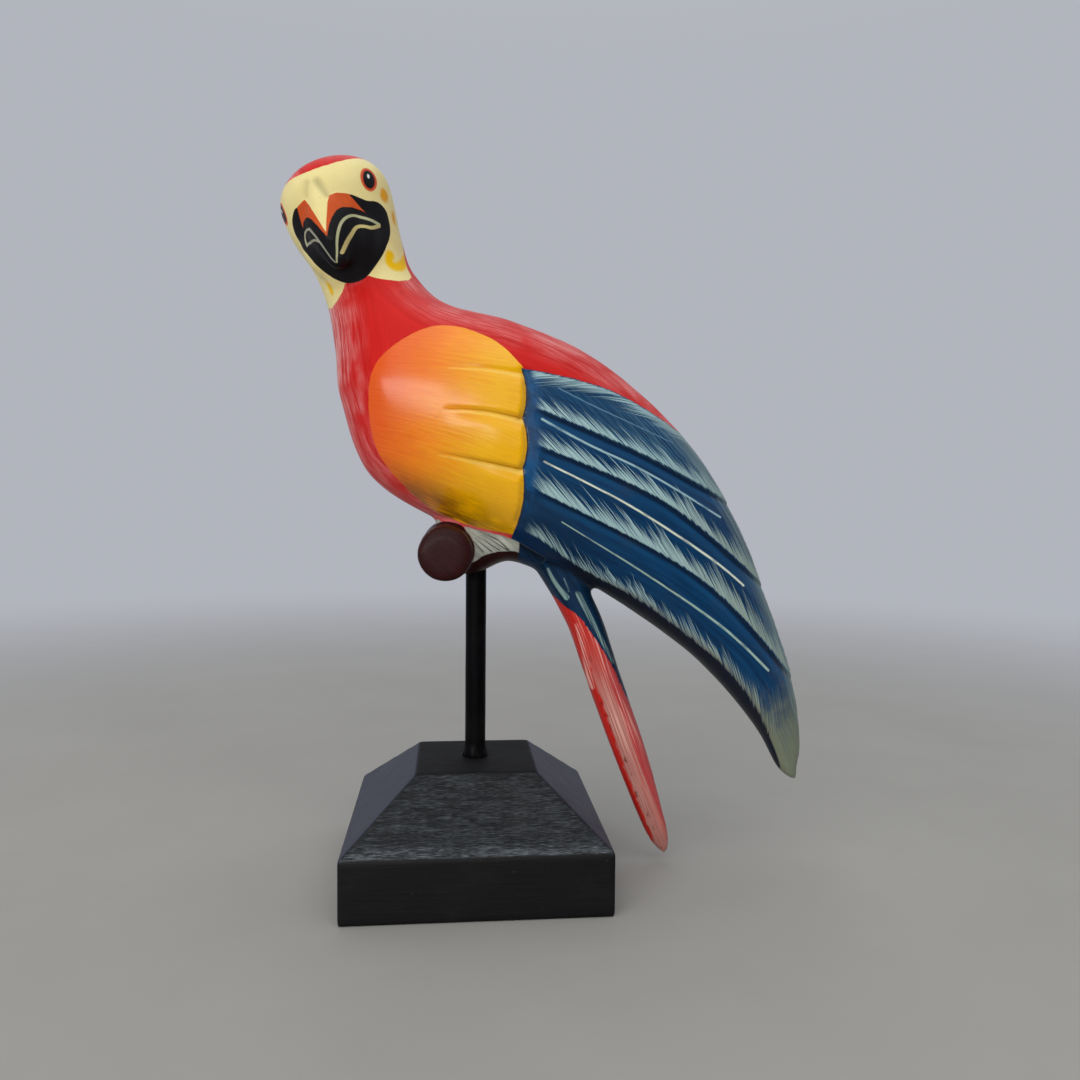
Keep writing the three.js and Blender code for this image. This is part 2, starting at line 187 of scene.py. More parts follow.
def tube_faces(rings, sides):
    """Two end caps, and four-sided faces from each ring of points to the next."""
    faces = [list(range(sides)), list(range((rings - 1) * sides, rings * sides))[::-1]]
    for first in range(0, (rings - 1) * sides, sides):
        for side in range(sides):
            a, b = first + side, first + (side + 1) % sides
            faces.append([b, a, a + sides, b + sides])
    return faces


def skin(stations, count, sides, start=None, end=None, dome_rings=10):
    """Points and faces of a closed skin over the stations."""
    rows = list(through(stations, count))
    first = domed(rows[0], start, dome_rings)[::-1] if start else []
    last = domed(rows[-1], end, dome_rings) if end else []
    rings = [slice_ring(row, sides) for row in [*first, *rows, *last]]
    return np.concatenate(rings), tube_faces(len(rings), sides)


def to_head(points):
    return (points - HEAD_CENTRE) @ HEAD_AXES


def from_head(points):
    return points @ HEAD_AXES.T + HEAD_CENTRE


def branch_stub(sides=72, steps=5):
    """The branch along y, with its two ends eased in a few steps."""
    angles = np.arange(sides) * 2 * np.pi / sides
    quarter = [math.pi / 2 * k / steps for k in range(steps + 1)]
    rounded = [(1 - math.cos(turn), 1 - math.sin(turn)) for turn in quarter]
    profile = [(PERCH_RADIUS - PERCH_EASE * b, -PERCH_HALF + PERCH_EASE * a) for a, b in rounded]
    profile += [(radius, -y) for radius, y in profile[::-1]]
    rings = [np.stack([PERCH_X + r * np.cos(angles), np.full(sides, y), PERCH_Z + r * np.sin(angles)], 1)
             for r, y in profile]
    return np.concatenate(rings), tube_faces(len(rings), sides)


forms = {
    "body": skin(BODY, 150, 96, CROWN, WING_TIP),
    "tail": skin(TAIL, 60, 40, None, TAIL_TIP),
    "feet": skin(FEET, 40, 48),
    "branch": branch_stub(),
    "upper": skin(UPPER_BEAK, 40, 40, None, UPPER_TIP),
    "lower": skin(LOWER_BEAK, 30, 48, None, LOWER_TIP),
}
for part in ("upper", "lower"):
    forms[part] = (from_head(forms[part][0]), forms[part][1])
print("forms:", {name: len(faces) for name, (_, faces) in forms.items()}, "faces")


# %% [markdown]
# ## One piece of wood
# The forms overlap. A boolean would join them with hard, thin seams, while a voxel remesh melts them
# into one skin of even faces, which suits wood that was cut from one block. A little smoothing then
# eases the corners as sandpaper does.

# %% Melt the forms together
def mesh_from(name, points, faces):
    mesh = bpy.data.meshes.new(name)
    mesh.from_pydata((np.asarray(points) * MM).tolist(), [], faces)
    mesh.validate()
    return mesh


def points_of(mesh):
    flat = np.empty(len(mesh.vertices) * 3)
    mesh.vertices.foreach_get("co", flat)
    return flat.reshape(-1, 3) / MM


def normals_of(mesh):
    flat = np.empty(len(mesh.vertices) * 3)
    mesh.vertices.foreach_get("normal", flat)
    return flat.reshape(-1, 3)


def place_points(mesh, points):
    mesh.vertices.foreach_set("co", (points * MM).ravel())
    mesh.update()


def ease(mesh, rounds, strength=0.5):
    """Draws every point towards the middle of its neighbours."""
    edges = np.empty(len(mesh.edges) * 2, dtype=np.int64)
    mesh.edges.foreach_get("vertices", edges)
    a, b = edges.reshape(-1, 2).T
    points = points_of(mesh)
    count = np.bincount(np.concatenate([a, b]), minlength=len(points))[:, None]
    for _ in range(rounds):
        total = np.zeros_like(points)
        np.add.at(total, a, points[b])
        np.add.at(total, b, points[a])
        points = points + strength * (total / count - points)
    place_points(mesh, points)


def melted(name, points, faces, voxel):
    """One even skin around overlapping forms."""
    rough = in_scene(name, mesh_from(name, points, faces))
    remesh = rough.modifiers.new("melt", "REMESH")
    remesh.mode, remesh.voxel_size = "VOXEL", voxel * MM
    mesh = bpy.data.meshes.new_from_object(rough.evaluated_get(bpy.context.evaluated_depsgraph_get()))
    mesh.name = name
    bpy.data.objects.remove(rough)
    return mesh


VOXEL = 1.42
offset, all_points, all_faces = 0, [], []
for points, faces in forms.values():
    all_points.append(points)
    all_faces += [[offset + v for v in face] for face in faces]
    offset += len(points)
wood = melted("parrot_carving", np.concatenate(all_points), all_faces, VOXEL)
ease(wood, 2)
print("melted skin:", len(wood.vertices), "points")


# %% [markdown]
# ## Where each line and colour lies
# The carver's cuts and the painter's edges are drawn as a few curves in the side view, and on the face
# as curves in degrees round the head and millimetres up it. Each point of the mesh then gets its
# distance from those curves. The same distances drive the carving here and the paint later, so a
# colour always ends on its cut. Image textures could hold the paint too, but would blur close up.

# %% Distance from a drawn line
def line_field(line, points, extend=40.0):
    """Distance from a line, positive on its left, and the share of its length gone by."""
    line = line[np.append(True, np.any(np.diff(line, axis=0) != 0, axis=1))]
    first, last = line[0] - line[1], line[-1] - line[-2]
    ends = [line[0] + first / np.linalg.norm(first) * extend, line[-1] + last / np.linalg.norm(last) * extend]
    line = np.vstack([ends[0], line, ends[1]])
    steps = np.diff(line, axis=0)
    lengths = np.linalg.norm(steps, axis=1)
    passed = np.concatenate([[0.0], np.cumsum(lengths)[:-1]]) - extend
    nearest = np.full(len(points), np.inf)
    signed, along = np.zeros(len(points)), np.zeros(len(points))
    for start, step, length, before in zip(line, steps, lengths, passed):
        away = points - start
        share = np.clip(away @ step / length**2, 0, 1)
        gap = np.hypot(*(away - share[:, None] * step).T)
        side = np.where(step[0] * away[:, 1] >= step[1] * away[:, 0], 1, -1)
        closer = gap < nearest
        nearest[closer] = gap[closer]
        signed[closer] = (gap * side)[closer]
        along[closer] = (before + share * length)[closer]
    return signed, along


def outline_field(outline, points):
    """Distance from a closed outline, positive inside it."""
    closed = np.vstack([outline, outline[:1]])
    distance = np.abs(line_field(closed, points, extend=0.01)[0])
    x, z = points.T
    inside = np.zeros(len(points), dtype=bool)
    for (ax, az), (bx, bz) in zip(closed[:-1], closed[1:]):
        if az != bz:
            inside ^= ((az > z) != (bz > z)) & (x < (bx - ax) * (z - az) / (bz - az) + ax)
    return np.where(inside, distance, -distance)


def soft_step(values, low, high):
    t = np.clip((values - low) / (high - low), 0, 1)
    return t * t * (3 - 2 * t)


# %% Lines of the wing and shoulder, x and z in the side view
WING_TOP = [(15.0, 192.6), (50.0, 186.2), (84.0, 170.0)]
FEATHER_EDGES = [
    [(12.0, 180.6), (21.0, 177.6), (60.0, 162.8), (99.5, 145.0)],
    [(12.0, 168.2), (21.0, 164.6), (70.0, 144.5), (114.0, 112.8)],
    [(12.0, 153.0), (21.0, 148.6), (85.0, 115.5), (128.0, 74.6)],
    [
        (12.0, 136.0), (23.0, 130.4), (38.9, 119.3), (61.9, 107.0), (86.3, 89.0), (98.0, 78.8),
        (109.3, 65.2), (118.2, 49.6), (122.5, 40.0), (125.0, 33.0),
    ],
]
QUILLS = [
    [(28.3, 185.9), (45.0, 178.7), (74.2, 167.8)],
    [(22.3, 174.5), (39.2, 166.1), (62.1, 156.4), (94.2, 139.6)],
    [(23.1, 159.4), (56.3, 143.5), (89.2, 123.9), (104.4, 113.0)],
    [(30.2, 137.8), (63.1, 118.2), (94.8, 97.1), (115.4, 79.1)],
]
PAD_LINES = [
    [(-11.0, 192.8), (2.5, 192.4), (15.6, 191.0)],
    [(-13.0, 177.7), (2.5, 177.0), (15.8, 174.6)],
    [(-14.0, 162.4), (1.0, 159.4), (16.0, 156.2)],
]
SCALLOP_CUSPS = [(15.0, 192.6), (15.3, 174.9), (15.5, 156.8), (12.9, 133.5)]
SCALLOP_BULGE = 1.6
SHOULDER = [
    (-14.0, 207.3), (3.6, 203.2), (15.0, 193.2), (24.0, 180.0), (26.0, 150.0), (21.0, 131.6),
    (13.4, 132.8), (-6.5, 137.3), (-21.4, 145.3), (-36.5, 163.5), (-38.9, 186.4), (-31.5, 198.8),
]
TAIL_BLUE = [
    (27.0, 110.6), (29.8, 109.0), (35.0, 104.9), (43.2, 96.7), (53.4, 81.2), (58.4, 71.0), (64.5, 60.0),
]
TAIL_STROKES = [
    [(27.2, 119.3), (29.9, 114.2), (34.6, 108.2)],
    [(33.2, 115.9), (35.4, 110.6)],
    [(39.4, 108.6), (45.0, 98.4), (53.3, 82.9)],
]
TAIL_GLEAM = [(38.6, 97.5), (41.0, 90.0), (43.2, 81.5), (45.4, 72.0)]
FOOT_END = 15.4
ARCH_EDGE = [
    (-5.0, 121.4), (-0.9, 122.8), (1.9, 124.9), (5.2, 126.0), (9.8, 126.6), (14.5, 126.3), (20.0, 123.3),
]
TOE_LINES = [
    [(0.7, 133.9), (4.1, 132.3), (7.5, 130.8)],
    [(4.0, 133.0), (8.0, 130.3), (11.5, 126.9)],
    [(2.1, 132.8), (5.8, 130.3), (11.0, 127.0)],
    [(0.1, 132.0), (2.9, 130.3), (8.1, 127.0)],
    [(-1.0, 131.4), (1.3, 129.4), (5.2, 126.6)],
    [(-1.6, 130.5), (0.1, 128.6), (2.1, 126.3)],
]


def scalloped_edge():
    """Lobes between the cusps, each swelling towards the wing."""
    points = []
    for (ax, az), (bx, bz) in zip(SCALLOP_CUSPS[:-1], SCALLOP_CUSPS[1:]):
        for f in np.linspace(0, 1, 9)[:-1]:
            points.append((ax + (bx - ax) * f + SCALLOP_BULGE * math.sin(math.pi * f), az + (bz - az) * f))
    return np.array([*points, SCALLOP_CUSPS[-1]])


def side_fields(points):
    """Distances in the side view, the same on both sides of the bird."""
    side = points[:, [0, 2]]
    fields = {"step": line_field(scalloped_edge(), side)[0]}
    fields["below_top"] = -line_field(through(WING_TOP, 20), side)[0]
    for number, edge in enumerate(FEATHER_EDGES, 1):
        fields[f"feather_{number}"], along = line_field(through(edge, 24), side)
        if number == 2:
            fields["feather_along"] = along
    return fields


print("drawn:", len(FEATHER_EDGES), "feathers,", len(QUILLS), "quills,", len(PAD_LINES), "pad lines")


# %% [markdown]
# ## Finer points where the knife went
# Even faces everywhere would waste points on the plain back. Faces are cut in four only along the
# carved lines and over the head, and once more on the beak, where the painted lines are thinnest.

# %% Refine the mesh where detail needs it
def refine(mesh, chosen):
    """Cuts in four the faces between chosen points."""
    work = bmesh.new()
    work.from_mesh(mesh)
    edges = [e for e in work.edges if chosen[e.verts[0].index] and chosen[e.verts[1].index]]
    bmesh.ops.subdivide_edges(work, edges=edges, cuts=1, use_grid_fill=True)
    bmesh.ops.triangulate(work, faces=[f for f in work.faces if len(f.verts) > 4])
    work.to_mesh(mesh)
    work.free()
    ease(mesh, 1, 0.3)


def near_cuts(points):
    fields = side_fields(points)
    pads = [np.abs(line_field(through(pad, 12), points[:, [0, 2]], 3.0)[0]) for pad in PAD_LINES]
    cuts = [np.abs(fields[f"feather_{k}"]) for k in (1, 2, 3)]
    on_wing = (fields["step"] > -4) & (fields["below_top"] > -3) & (fields["feather_4"] > -3)
    on_pads = (fields["step"] < 3) & (points[:, 0] > -18)
    near = (np.min([*cuts, np.abs(fields["step"])], axis=0) < 3.2) & on_wing
    return near | ((np.min(pads, axis=0) < 2.8) & on_pads)


HEAD_RADIUS = 18.5
CERE_GROOVES = [
    [(-9.5, 4.2), (-12.0, 2.2), (-14.5, -0.2)],
    [(2.6, 3.2), (5.4, 0.8), (7.6, -1.2), (9.6, -3.0)],
]
CERE_CUT, CERE_WIDE = 0.5, 1.2


def on_face(picks):
    """Picks of degrees round the head and millimetres up it, laid out flat in millimetres."""
    return np.array([(math.radians(turn) * HEAD_RADIUS, up) for turn, up in picks])


def face_place(points):
    """Degrees round the head from straight ahead, and millimetres up, of each point."""
    forward, lateral, up = to_head(points).T
    return np.degrees(np.arctan2(lateral, forward)), up


HEAD_LOW, HEAD_BACK = -38, -18
BEAK_TURN, BEAK_LOW, BEAK_TOP = 82, -35, 7
points = points_of(wood)
refine(wood, near_cuts(points) | ((to_head(points)[:, 2] > HEAD_LOW) & (points[:, 0] < HEAD_BACK)))
points = points_of(wood)
turn, up = face_place(points)
on_beak = (np.abs(turn) < BEAK_TURN) & (up > BEAK_LOW) & (up < BEAK_TOP)
refine(wood, on_beak & (points[:, 0] < HEAD_BACK))
triangles = sum(len(p.vertices) - 2 for p in wood.polygons)
print("refined:", len(wood.vertices), "points,", triangles, "triangles")


# %% [markdown]
# ## Carving
# Each feather ends in a steep little wall, and the next feather rises from its foot. The shoulder's
# pads have the same cut, shallow at the breast and deep at their scalloped edge, where the wood steps
# down to the wing. Points are pushed into the wood by the depth of the cuts that they lie in.

# %% Cut the feathers, pads and scallops
FEATHER_CUT, FEATHER_SLOPE = 1.5, 6.5
PAD_CUT, PAD_SLOPE, PAD_ROUND = 1.8, 4.6, 1.1
STEP_CUT, STEP_SLOPE, STEP_ROUND = 1.4, 5.5, 2.2
PIT_CUT, PIT_WIDE = 0.8, 1.5
WALL = 0.45
RIDGE_SHARE, RIDGE_WIDE = 0.35, 12.0
HAND_UNEVEN, HAND_SCALE = 0.12, 0.11
FIRST_PAD_SHARE, PAD_REACH = 0.5, 9


def cut_depth(distance, depth, slope, ease_over=WALL):
    """Depth beside a cut: a wall on the line, eased over its high side, and a slope beyond it."""
    return depth * np.clip(1 + distance / slope, 0, 1) * soft_step(distance, ease_over, -WALL)


points, inward = points_of(wood), -normals_of(wood)
fields = side_fields(points)
side = points[:, [0, 2]]
outline = through(BODY, 60)
fields["front_in"], fields["front_along"] = line_field(outline[:, 0:2], side)
back_in, fields["back_along"] = line_field(outline[:, 2:4], side)
fields["back_in"] = -back_in
on_wing = soft_step(fields["below_top"], -1, 1.5) * soft_step(fields["feather_4"], -0.5, 3)
at_ridge = RIDGE_SHARE + (1 - RIDGE_SHARE) * soft_step(fields["back_in"], 0, RIDGE_WIDE)
depth = np.zeros(len(points))
for number in (1, 2, 3):
    reach = (0.4 + 0.6 * soft_step(fields["step"], 2, 24)) * at_ridge
    cut = cut_depth(fields[f"feather_{number}"], FEATHER_CUT, FEATHER_SLOPE)
    depth = np.maximum(depth, cut * reach * on_wing * soft_step(fields["step"], 1.5, 5))
depth = np.maximum(depth, cut_depth(-fields["step"], STEP_CUT, STEP_SLOPE, STEP_ROUND) * on_wing)
for pad in PAD_LINES:
    drawn = through(pad, 12)
    distance, along = line_field(drawn, side)
    share = np.clip(along / np.linalg.norm(np.diff(drawn, axis=0), axis=1).sum(), 0, 1)
    in_pad = soft_step(fields["step"], 0.3, -0.6) * (np.abs(distance) < PAD_REACH)
    strength = FIRST_PAD_SHARE if pad is PAD_LINES[0] else 1.0
    cut = cut_depth(distance, PAD_CUT * strength, PAD_SLOPE, PAD_ROUND)
    depth = np.maximum(depth, cut * share**0.8 * in_pad)
for cusp in SCALLOP_CUSPS[1:3]:
    depth += PIT_CUT * np.exp(-(np.hypot(*(side - np.array(cusp)).T) / PIT_WIDE) ** 2)
turn, up = face_place(points)
face = np.stack([np.radians(turn) * HEAD_RADIUS, up], axis=1)
for groove in CERE_GROOVES:
    distance, _ = line_field(through(on_face(groove), 12), face, 0.01)
    depth += CERE_CUT * np.exp(-(distance / CERE_WIDE) ** 2) * (np.abs(face[:, 1]) < 12)
uneven = np.array([noise.noise(Vector(p) * HAND_SCALE) for p in points]) * HAND_UNEVEN
place_points(wood, points + inward * (depth + uneven)[:, None])
print("deepest cut:", round(float(depth.max()), 2), "mm")


# %% [markdown]
# ## Where the paint goes
# These are the painter's areas. A form's own distance says what is tail, foot or branch: a point lies
# on whichever of the overlapping forms it is closest to. The face is laid out round the head, so its
# bands wrap over the beak as a brush would take them.

# %% Distances from the separate forms
def distance_from(form, points):
    tree = BVHTree.FromPolygons(form[0].tolist(), form[1])
    return np.array([tree.find_nearest(p)[3] for p in points.tolist()])


LOW_ENOUGH, FAR_OFF = 160.0, 50.0
low = points[:, 2] < LOW_ENOUGH
gap = {name: np.full(len(points), FAR_OFF) for name in ("tail", "feet", "branch")}
gap["body"] = np.zeros(len(points))
for name in gap:
    gap[name][low] = distance_from(forms[name], points[low])
fields["tail"] = np.minimum(gap["body"], gap["feet"]) - gap["tail"]
fields["feet"] = np.min([gap["body"], gap["tail"], gap["branch"]], axis=0) - gap["feet"]
fields["branch"] = np.min([gap["body"], gap["tail"], gap["feet"]], axis=0) - gap["branch"]
for name in ("tail", "feet", "branch"):
    print("points on the", name, int((fields[name] > 0).sum()))

# %% Painted areas of the body
UNDERLAP = 0.8
in_shoulder = outline_field(through(SHOULDER, 72, closed=True), side)
fields["shoulder"] = np.minimum(in_shoulder, UNDERLAP - fields["step"])


def stroke_field(picks, places):
    """Distance from a drawn stroke and the share of its length, for each place."""
    drawn = through(picks, 24)
    distance, along = line_field(drawn, places, 12.0)
    length = np.linalg.norm(np.diff(drawn, axis=0), axis=1).sum()
    return np.stack([distance, along / length, 0 * along], axis=1)


DRAWN_STROKES = {"quill": QUILLS, "pad": PAD_LINES, "toe": TOE_LINES, "tail_stroke": TAIL_STROKES}
for name, strokes in DRAWN_STROKES.items():
    for number, picks in enumerate(strokes, 1):
        fields[f"{name}_{number}"] = stroke_field(picks, side)
fields["tail_gleam"] = stroke_field(TAIL_GLEAM, side)
fields["tail_blue"] = line_field(through(TAIL_BLUE, 20), side)[0]
fields["tail_in"], fields["tail_along"] = line_field(through(TAIL, 30)[:, 0:2], side)
fields["above_arch"] = line_field(through(ARCH_EDGE, 16), side)[0]
fields["carved"] = depth
fields["under_wing"] = gap["body"]
fields["feet_clear"] = np.minimum(gap["body"], gap["branch"])
fields["foot_end"] = points[:, 0] - FOOT_END
print("drawn on the body:", {name: len(strokes) for name, strokes in DRAWN_STROKES.items()})

# %% Painted areas of the face: degrees round the head, millimetres up
CROWN_EDGE = [
    (-120, 9.5), (-32, 8.9), (-19, 8.3), (0, 8.1), (18, 8.2), (38, 8.9), (52, 9.6), (63, 10.1), (120, 10.3),
]
COLLAR = [
    (-120, -36), (-69, -35.8), (-60, -37.0), (-53, -37.2), (-36, -36.3), (-21, -34.3), (-11, -31.8),
    (10, -31.8), (27, -31.7), (36, -33.3), (48, -35.0), (61, -36.2), (76, -36.0), (90, -33.8), (100, -31),
    (120, -28),
]
CREAM_BACK = [(-36, 84), (-30, 90), (-20, 103), (0, 115), (9, 120)]
BEAK_BLACK = [
    (30, -3.8), (40, -5.5), (49, -6.9), (58, -7.1), (66, -8.2), (73, -10.8), (75, -15.0), (73, -18.2),
    (65, -21.8), (53, -25.9), (40, -29.0), (27, -31.5), (14, -32.7), (0, -32.5), (-11, -31.4), (-21, -29.0),
    (-28, -26.1), (-32, -22.6), (-37, -18.4), (-48, -13.5), (-52, -10.0), (-48, -6.0), (-40, -3.4),
    (-30, -2.0), (-20, -5.0), (0, -10.0), (16, -4.5),
]
ORANGE_LEFT = [
    (10.6, -3.0), (18, -2.5), (29.5, -3.6), (34, -6.2), (39, -9.1), (43.5, -11.0), (38, -9.8), (29, -8.5),
    (18.5, -8.4), (13, -9.3), (7.7, -11.7), (3.4, -14.6), (0.2, -17.8), (-2, -13.0), (-2, -6.0), (2, -2.6),
]
ORANGE_RIGHT = [
    (-17, -1.0), (-29, -2.0), (-31, -5.2), (-33, -9.2), (-28, -7.6), (-20, -7.4), (-15, -7.9), (-10, -9.7),
    (-4.7, -13.6), (0, -17.8), (4, -12.0), (2, -6.0), (-8, -1.4),
]
CULMEN = [
    (-17, -0.8), (-10, -4.5), (-5.2, -8.9), (-2.1, -12.9), (0.3, -16.4), (2.6, -12.8), (5, -9.3), (7.4, -6.0),
    (10.8, -2.8), (10, 4.0), (-15, 4.0),
]
MOUTH_LINES = [
    [
        (-0.3, -26.5), (3, -23.4), (6, -20.0), (10, -16.4), (14.5, -13.8), (20.5, -12.2), (28, -11.6),
        (36, -12.4), (57, -15.2),
    ],
    [(57, -15.6), (44, -16.6), (36, -15.9), (30, -15.6), (25, -16.2), (20, -18.0), (14, -20.4), (6.4, -24.1)],
    [(-1.6, -26.5), (-3.7, -24.6), (-5.7, -21.6), (-8.0, -18.4), (-11.6, -15.1), (-16.2, -12.1)],
    [(-16.2, -12.1), (-24, -11.2), (-32, -10.9), (-35, -12.8), (-33.7, -15.3)],
    [(-33.7, -15.3), (-27.5, -15.3), (-14, -16.6), (-8.7, -18.2)],
]
EYES = [(57.6, 0.7, 18), (-62, 0.3, -18)]
EYE_HALF, EYE_HIGH = 2.25, 3.45
GLINT_AT, GLINT_HALF, GLINT_HIGH = (0.1, 1.1), 0.55, 0.95
OCHRE_SPOTS = [(75, -4.6, 2.5, 2.6), (86, -11.8, 1.0, 2.4), (-42, -30.6, 1.9, 3.0)]
OCHRE_WIDE = 1.75
NECK_LOW, FAR_OUTSIDE = -42, -20
OCHRE_CURL = [(65, -26.0), (61.5, -28.0), (65, -30.0), (73, -30.6), (85, -29.1), (93, -27.2)]


def ellipse_field(centre, half, high, lean):
    """Distance out from the rim of an ellipse on the face, negative inside it."""
    away = face - on_face([centre])[0]
    c, s = math.cos(math.radians(lean)), math.sin(math.radians(lean))
    share = np.hypot((away[:, 0] * c - away[:, 1] * s) / half, (away[:, 0] * s + away[:, 1] * c) / high)
    return np.hypot(*away.T) * (1 - 1 / np.maximum(share, 0.05))


back_limit = np.interp(up, *zip(*CREAM_BACK)) - np.abs(turn)
crown, collar = np.interp(turn, *zip(*CROWN_EDGE)), np.interp(turn, *zip(*COLLAR))
fields["cream"] = np.min([crown - up, up - collar, np.radians(back_limit) * HEAD_RADIUS], axis=0)
fields["black"] = outline_field(through(on_face(BEAK_BLACK), 90, closed=True), face)
fields["orange"] = np.maximum(*(outline_field(on_face(area), face) for area in (ORANGE_LEFT, ORANGE_RIGHT)))
fields["culmen"] = outline_field(on_face(CULMEN), face)
for number, mouth in enumerate(MOUTH_LINES, 1):
    fields[f"mouth_{number}"] = stroke_field(on_face(mouth), face)
for number, groove in enumerate(CERE_GROOVES, 1):
    fields[f"cere_{number}"] = stroke_field(on_face(groove), face)
eyes = [ellipse_field((t, u), EYE_HALF, EYE_HIGH, lean) for t, u, lean in EYES]
fields["eye"] = np.minimum(*eyes)
glints = []
for t, u, lean in EYES:
    aside = math.degrees(GLINT_AT[0] / HEAD_RADIUS) * math.copysign(1, t)
    glints.append(ellipse_field((t + aside, u + GLINT_AT[1]), GLINT_HALF, GLINT_HIGH, lean))
fields["glint"] = np.minimum(*glints)
spots = [-ellipse_field((t, u), half, high, 0) for t, u, half, high in OCHRE_SPOTS]
curl = OCHRE_WIDE - np.abs(line_field(through(on_face(OCHRE_CURL), 16), face, 0.01)[0])
fields["ochre"] = np.maximum(np.max(spots, axis=0), curl)
off_head = up < NECK_LOW
for name in ("cream", "black", "orange", "culmen", "ochre"):
    fields[name][off_head] = FAR_OUTSIDE
print("face areas laid out round a head of radius", HEAD_RADIUS, "mm")


# %% Keep the distances on the mesh
def keep_field(mesh, name, values):
    kind, item = ("FLOAT", "value") if values.ndim == 1 else ("FLOAT_VECTOR", "vector")
    attribute = mesh.attributes.new(name, kind, "POINT")
    attribute.data.foreach_set(item, values.astype(np.float32).ravel())


fields["x"], fields["y"], fields["z"] = points.T
for name, values in fields.items():
    keep_field(wood, name, values)
parrot = in_scene("parrot_carving", wood)
wood.shade_smooth()
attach(parrot, "root")
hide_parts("parrot")
print("kept", len(fields), "fields on the carving")


# %% [markdown]
# ## The stand
# The block is sawn, then sloped on four sides and painted black. Its front and back slopes were left
# rough from the saw, and the other faces were sanded. A bump map would show the grain from afar, but
# the points of the slopes are moved instead, so that the saw's marks also break the block's edges.

# %% Block
BLOCK_SIDE, SKIRT_HIGH, BLOCK_HIGH, TOP_SIDE = 96.0, 22.6, 44.6, 44.6
BLOCK_VOXEL = 0.9
SAW_ROUGH = 0.2
SLOPE_UP, SLOPE_ASIDE = (0.5, 0.65), (0.35, 0.5)


def square(side, z):
    h = side / 2
    return [(-h, -h, z), (h, -h, z), (h, h, z), (-h, h, z)]


def saw_marks(x, y, z):
    """Height of the saw's marks: long ridges along x, with shorter ones among them."""
    ridges = noise.noise(Vector((x * 0.09, y * 0.9, z * 0.9)))
    return ridges + 0.7 * noise.noise(Vector((x * 0.3, y * 1.9, z * 1.9)))


block_points = [*square(BLOCK_SIDE, 0), *square(BLOCK_SIDE, SKIRT_HIGH), *square(TOP_SIDE, BLOCK_HIGH)]
block_faces = [(3, 2, 1, 0), (8, 9, 10, 11)]
for ring in (0, 4):
    block_faces += [(ring + k, ring + (k + 1) % 4, ring + 4 + (k + 1) % 4, ring + 4 + k) for k in range(4)]
block_mesh = melted("base_block", np.array(block_points), block_faces, BLOCK_VOXEL)
ease(block_mesh, 5)
points, outward = points_of(block_mesh), normals_of(block_mesh)
slope = soft_step(outward[:, 2], *SLOPE_UP)
sawn = soft_step(np.abs(outward[:, 1]), *SLOPE_ASIDE) * slope
sanded = soft_step(np.abs(outward[:, 0]), *SLOPE_ASIDE) * slope
saw = np.array([saw_marks(*point) for point in points])
points = points + outward * (sawn * saw * SAW_ROUGH)[:, None]
points[:, 2] = np.clip(points[:, 2], 0, None)
place_points(block_mesh, points)
keep_field(block_mesh, "sawn", sawn)
keep_field(block_mesh, "sanded", sanded)
keep_field(block_mesh, "saw_ridge", saw)
block = in_scene("base_block", block_mesh)
block_mesh.shade_smooth()
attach(block, "root")
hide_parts("base")
print("block:", len(block_mesh.vertices), "points")


# %% [markdown]
# ## The dowel
# The rod is a plain dowel in the same black. A cylinder would do for its shape, but a real one is never
# quite round, and it stands in a small bead of glue that was painted over. So it is made of rings, each
# pushed out a little by noise, and the rings near the block swell into the bead.

# %% Dowel
ROD_RADIUS, ROD_FOOT, ROD_TOP = 4.0, 24.0, 133.0
ROD_SIDES, ROD_RINGS = 48, 110
BEAD_HIGH, BEAD_OUT = 3.2, 0.9
ROD_UNEVEN = 0.06


def dowel():
    """Rings up the dowel, a little uneven, with a bead of glue where it enters the block."""
    rings = []
    for z in np.linspace(ROD_FOOT, ROD_TOP, ROD_RINGS):
        for angle in np.arange(ROD_SIDES) * 2 * math.pi / ROD_SIDES:
            out = Vector((math.cos(angle), math.sin(angle), z * 0.08))
            lump = noise.noise(out * 2.2)
            above = (z - BLOCK_HIGH) / (BEAD_HIGH * (1 + 0.5 * lump))
            bead = BEAD_OUT * (1 + 0.6 * lump) * math.exp(-above * above * 1.6) if above > -1 else 0
            radius = ROD_RADIUS + ROD_UNEVEN * noise.noise(out * 0.9) + bead
            rings.append((radius * math.cos(angle), radius * math.sin(angle), z))
    return rings, [face[::-1] for face in tube_faces(ROD_RINGS, ROD_SIDES)]


rod_mesh = mesh_from("rod_dowel", *dowel())
rod = in_scene("rod_dowel", rod_mesh)
rod_mesh.shade_smooth()
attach(rod, "root")
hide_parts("rod")
print("dowel:", len(rod_mesh.vertices), "points")


# %% [markdown]
# ## Paint
# The finish is poster-like wood paint under a thin satin varnish: flat areas with crisp hand-drawn
# edges, dry-brushed streaks over them, age, and painted shade in the corners and cuts, with a few
# painted highlights. The materials are built from nodes that read the distances kept on the mesh. A
# few effects serve several paints, so they are node groups.

# %% Node helper
def srgb(red, green, blue):
    """A colour as seen on screen, 0 to 255, as the linear colour that shaders use."""
    parts = [c / 255 for c in (red, green, blue)]
    return (*[c / 12.92 if c <= 0.04045 else ((c + 0.055) / 1.055) ** 2.4 for c in parts], 1.0)


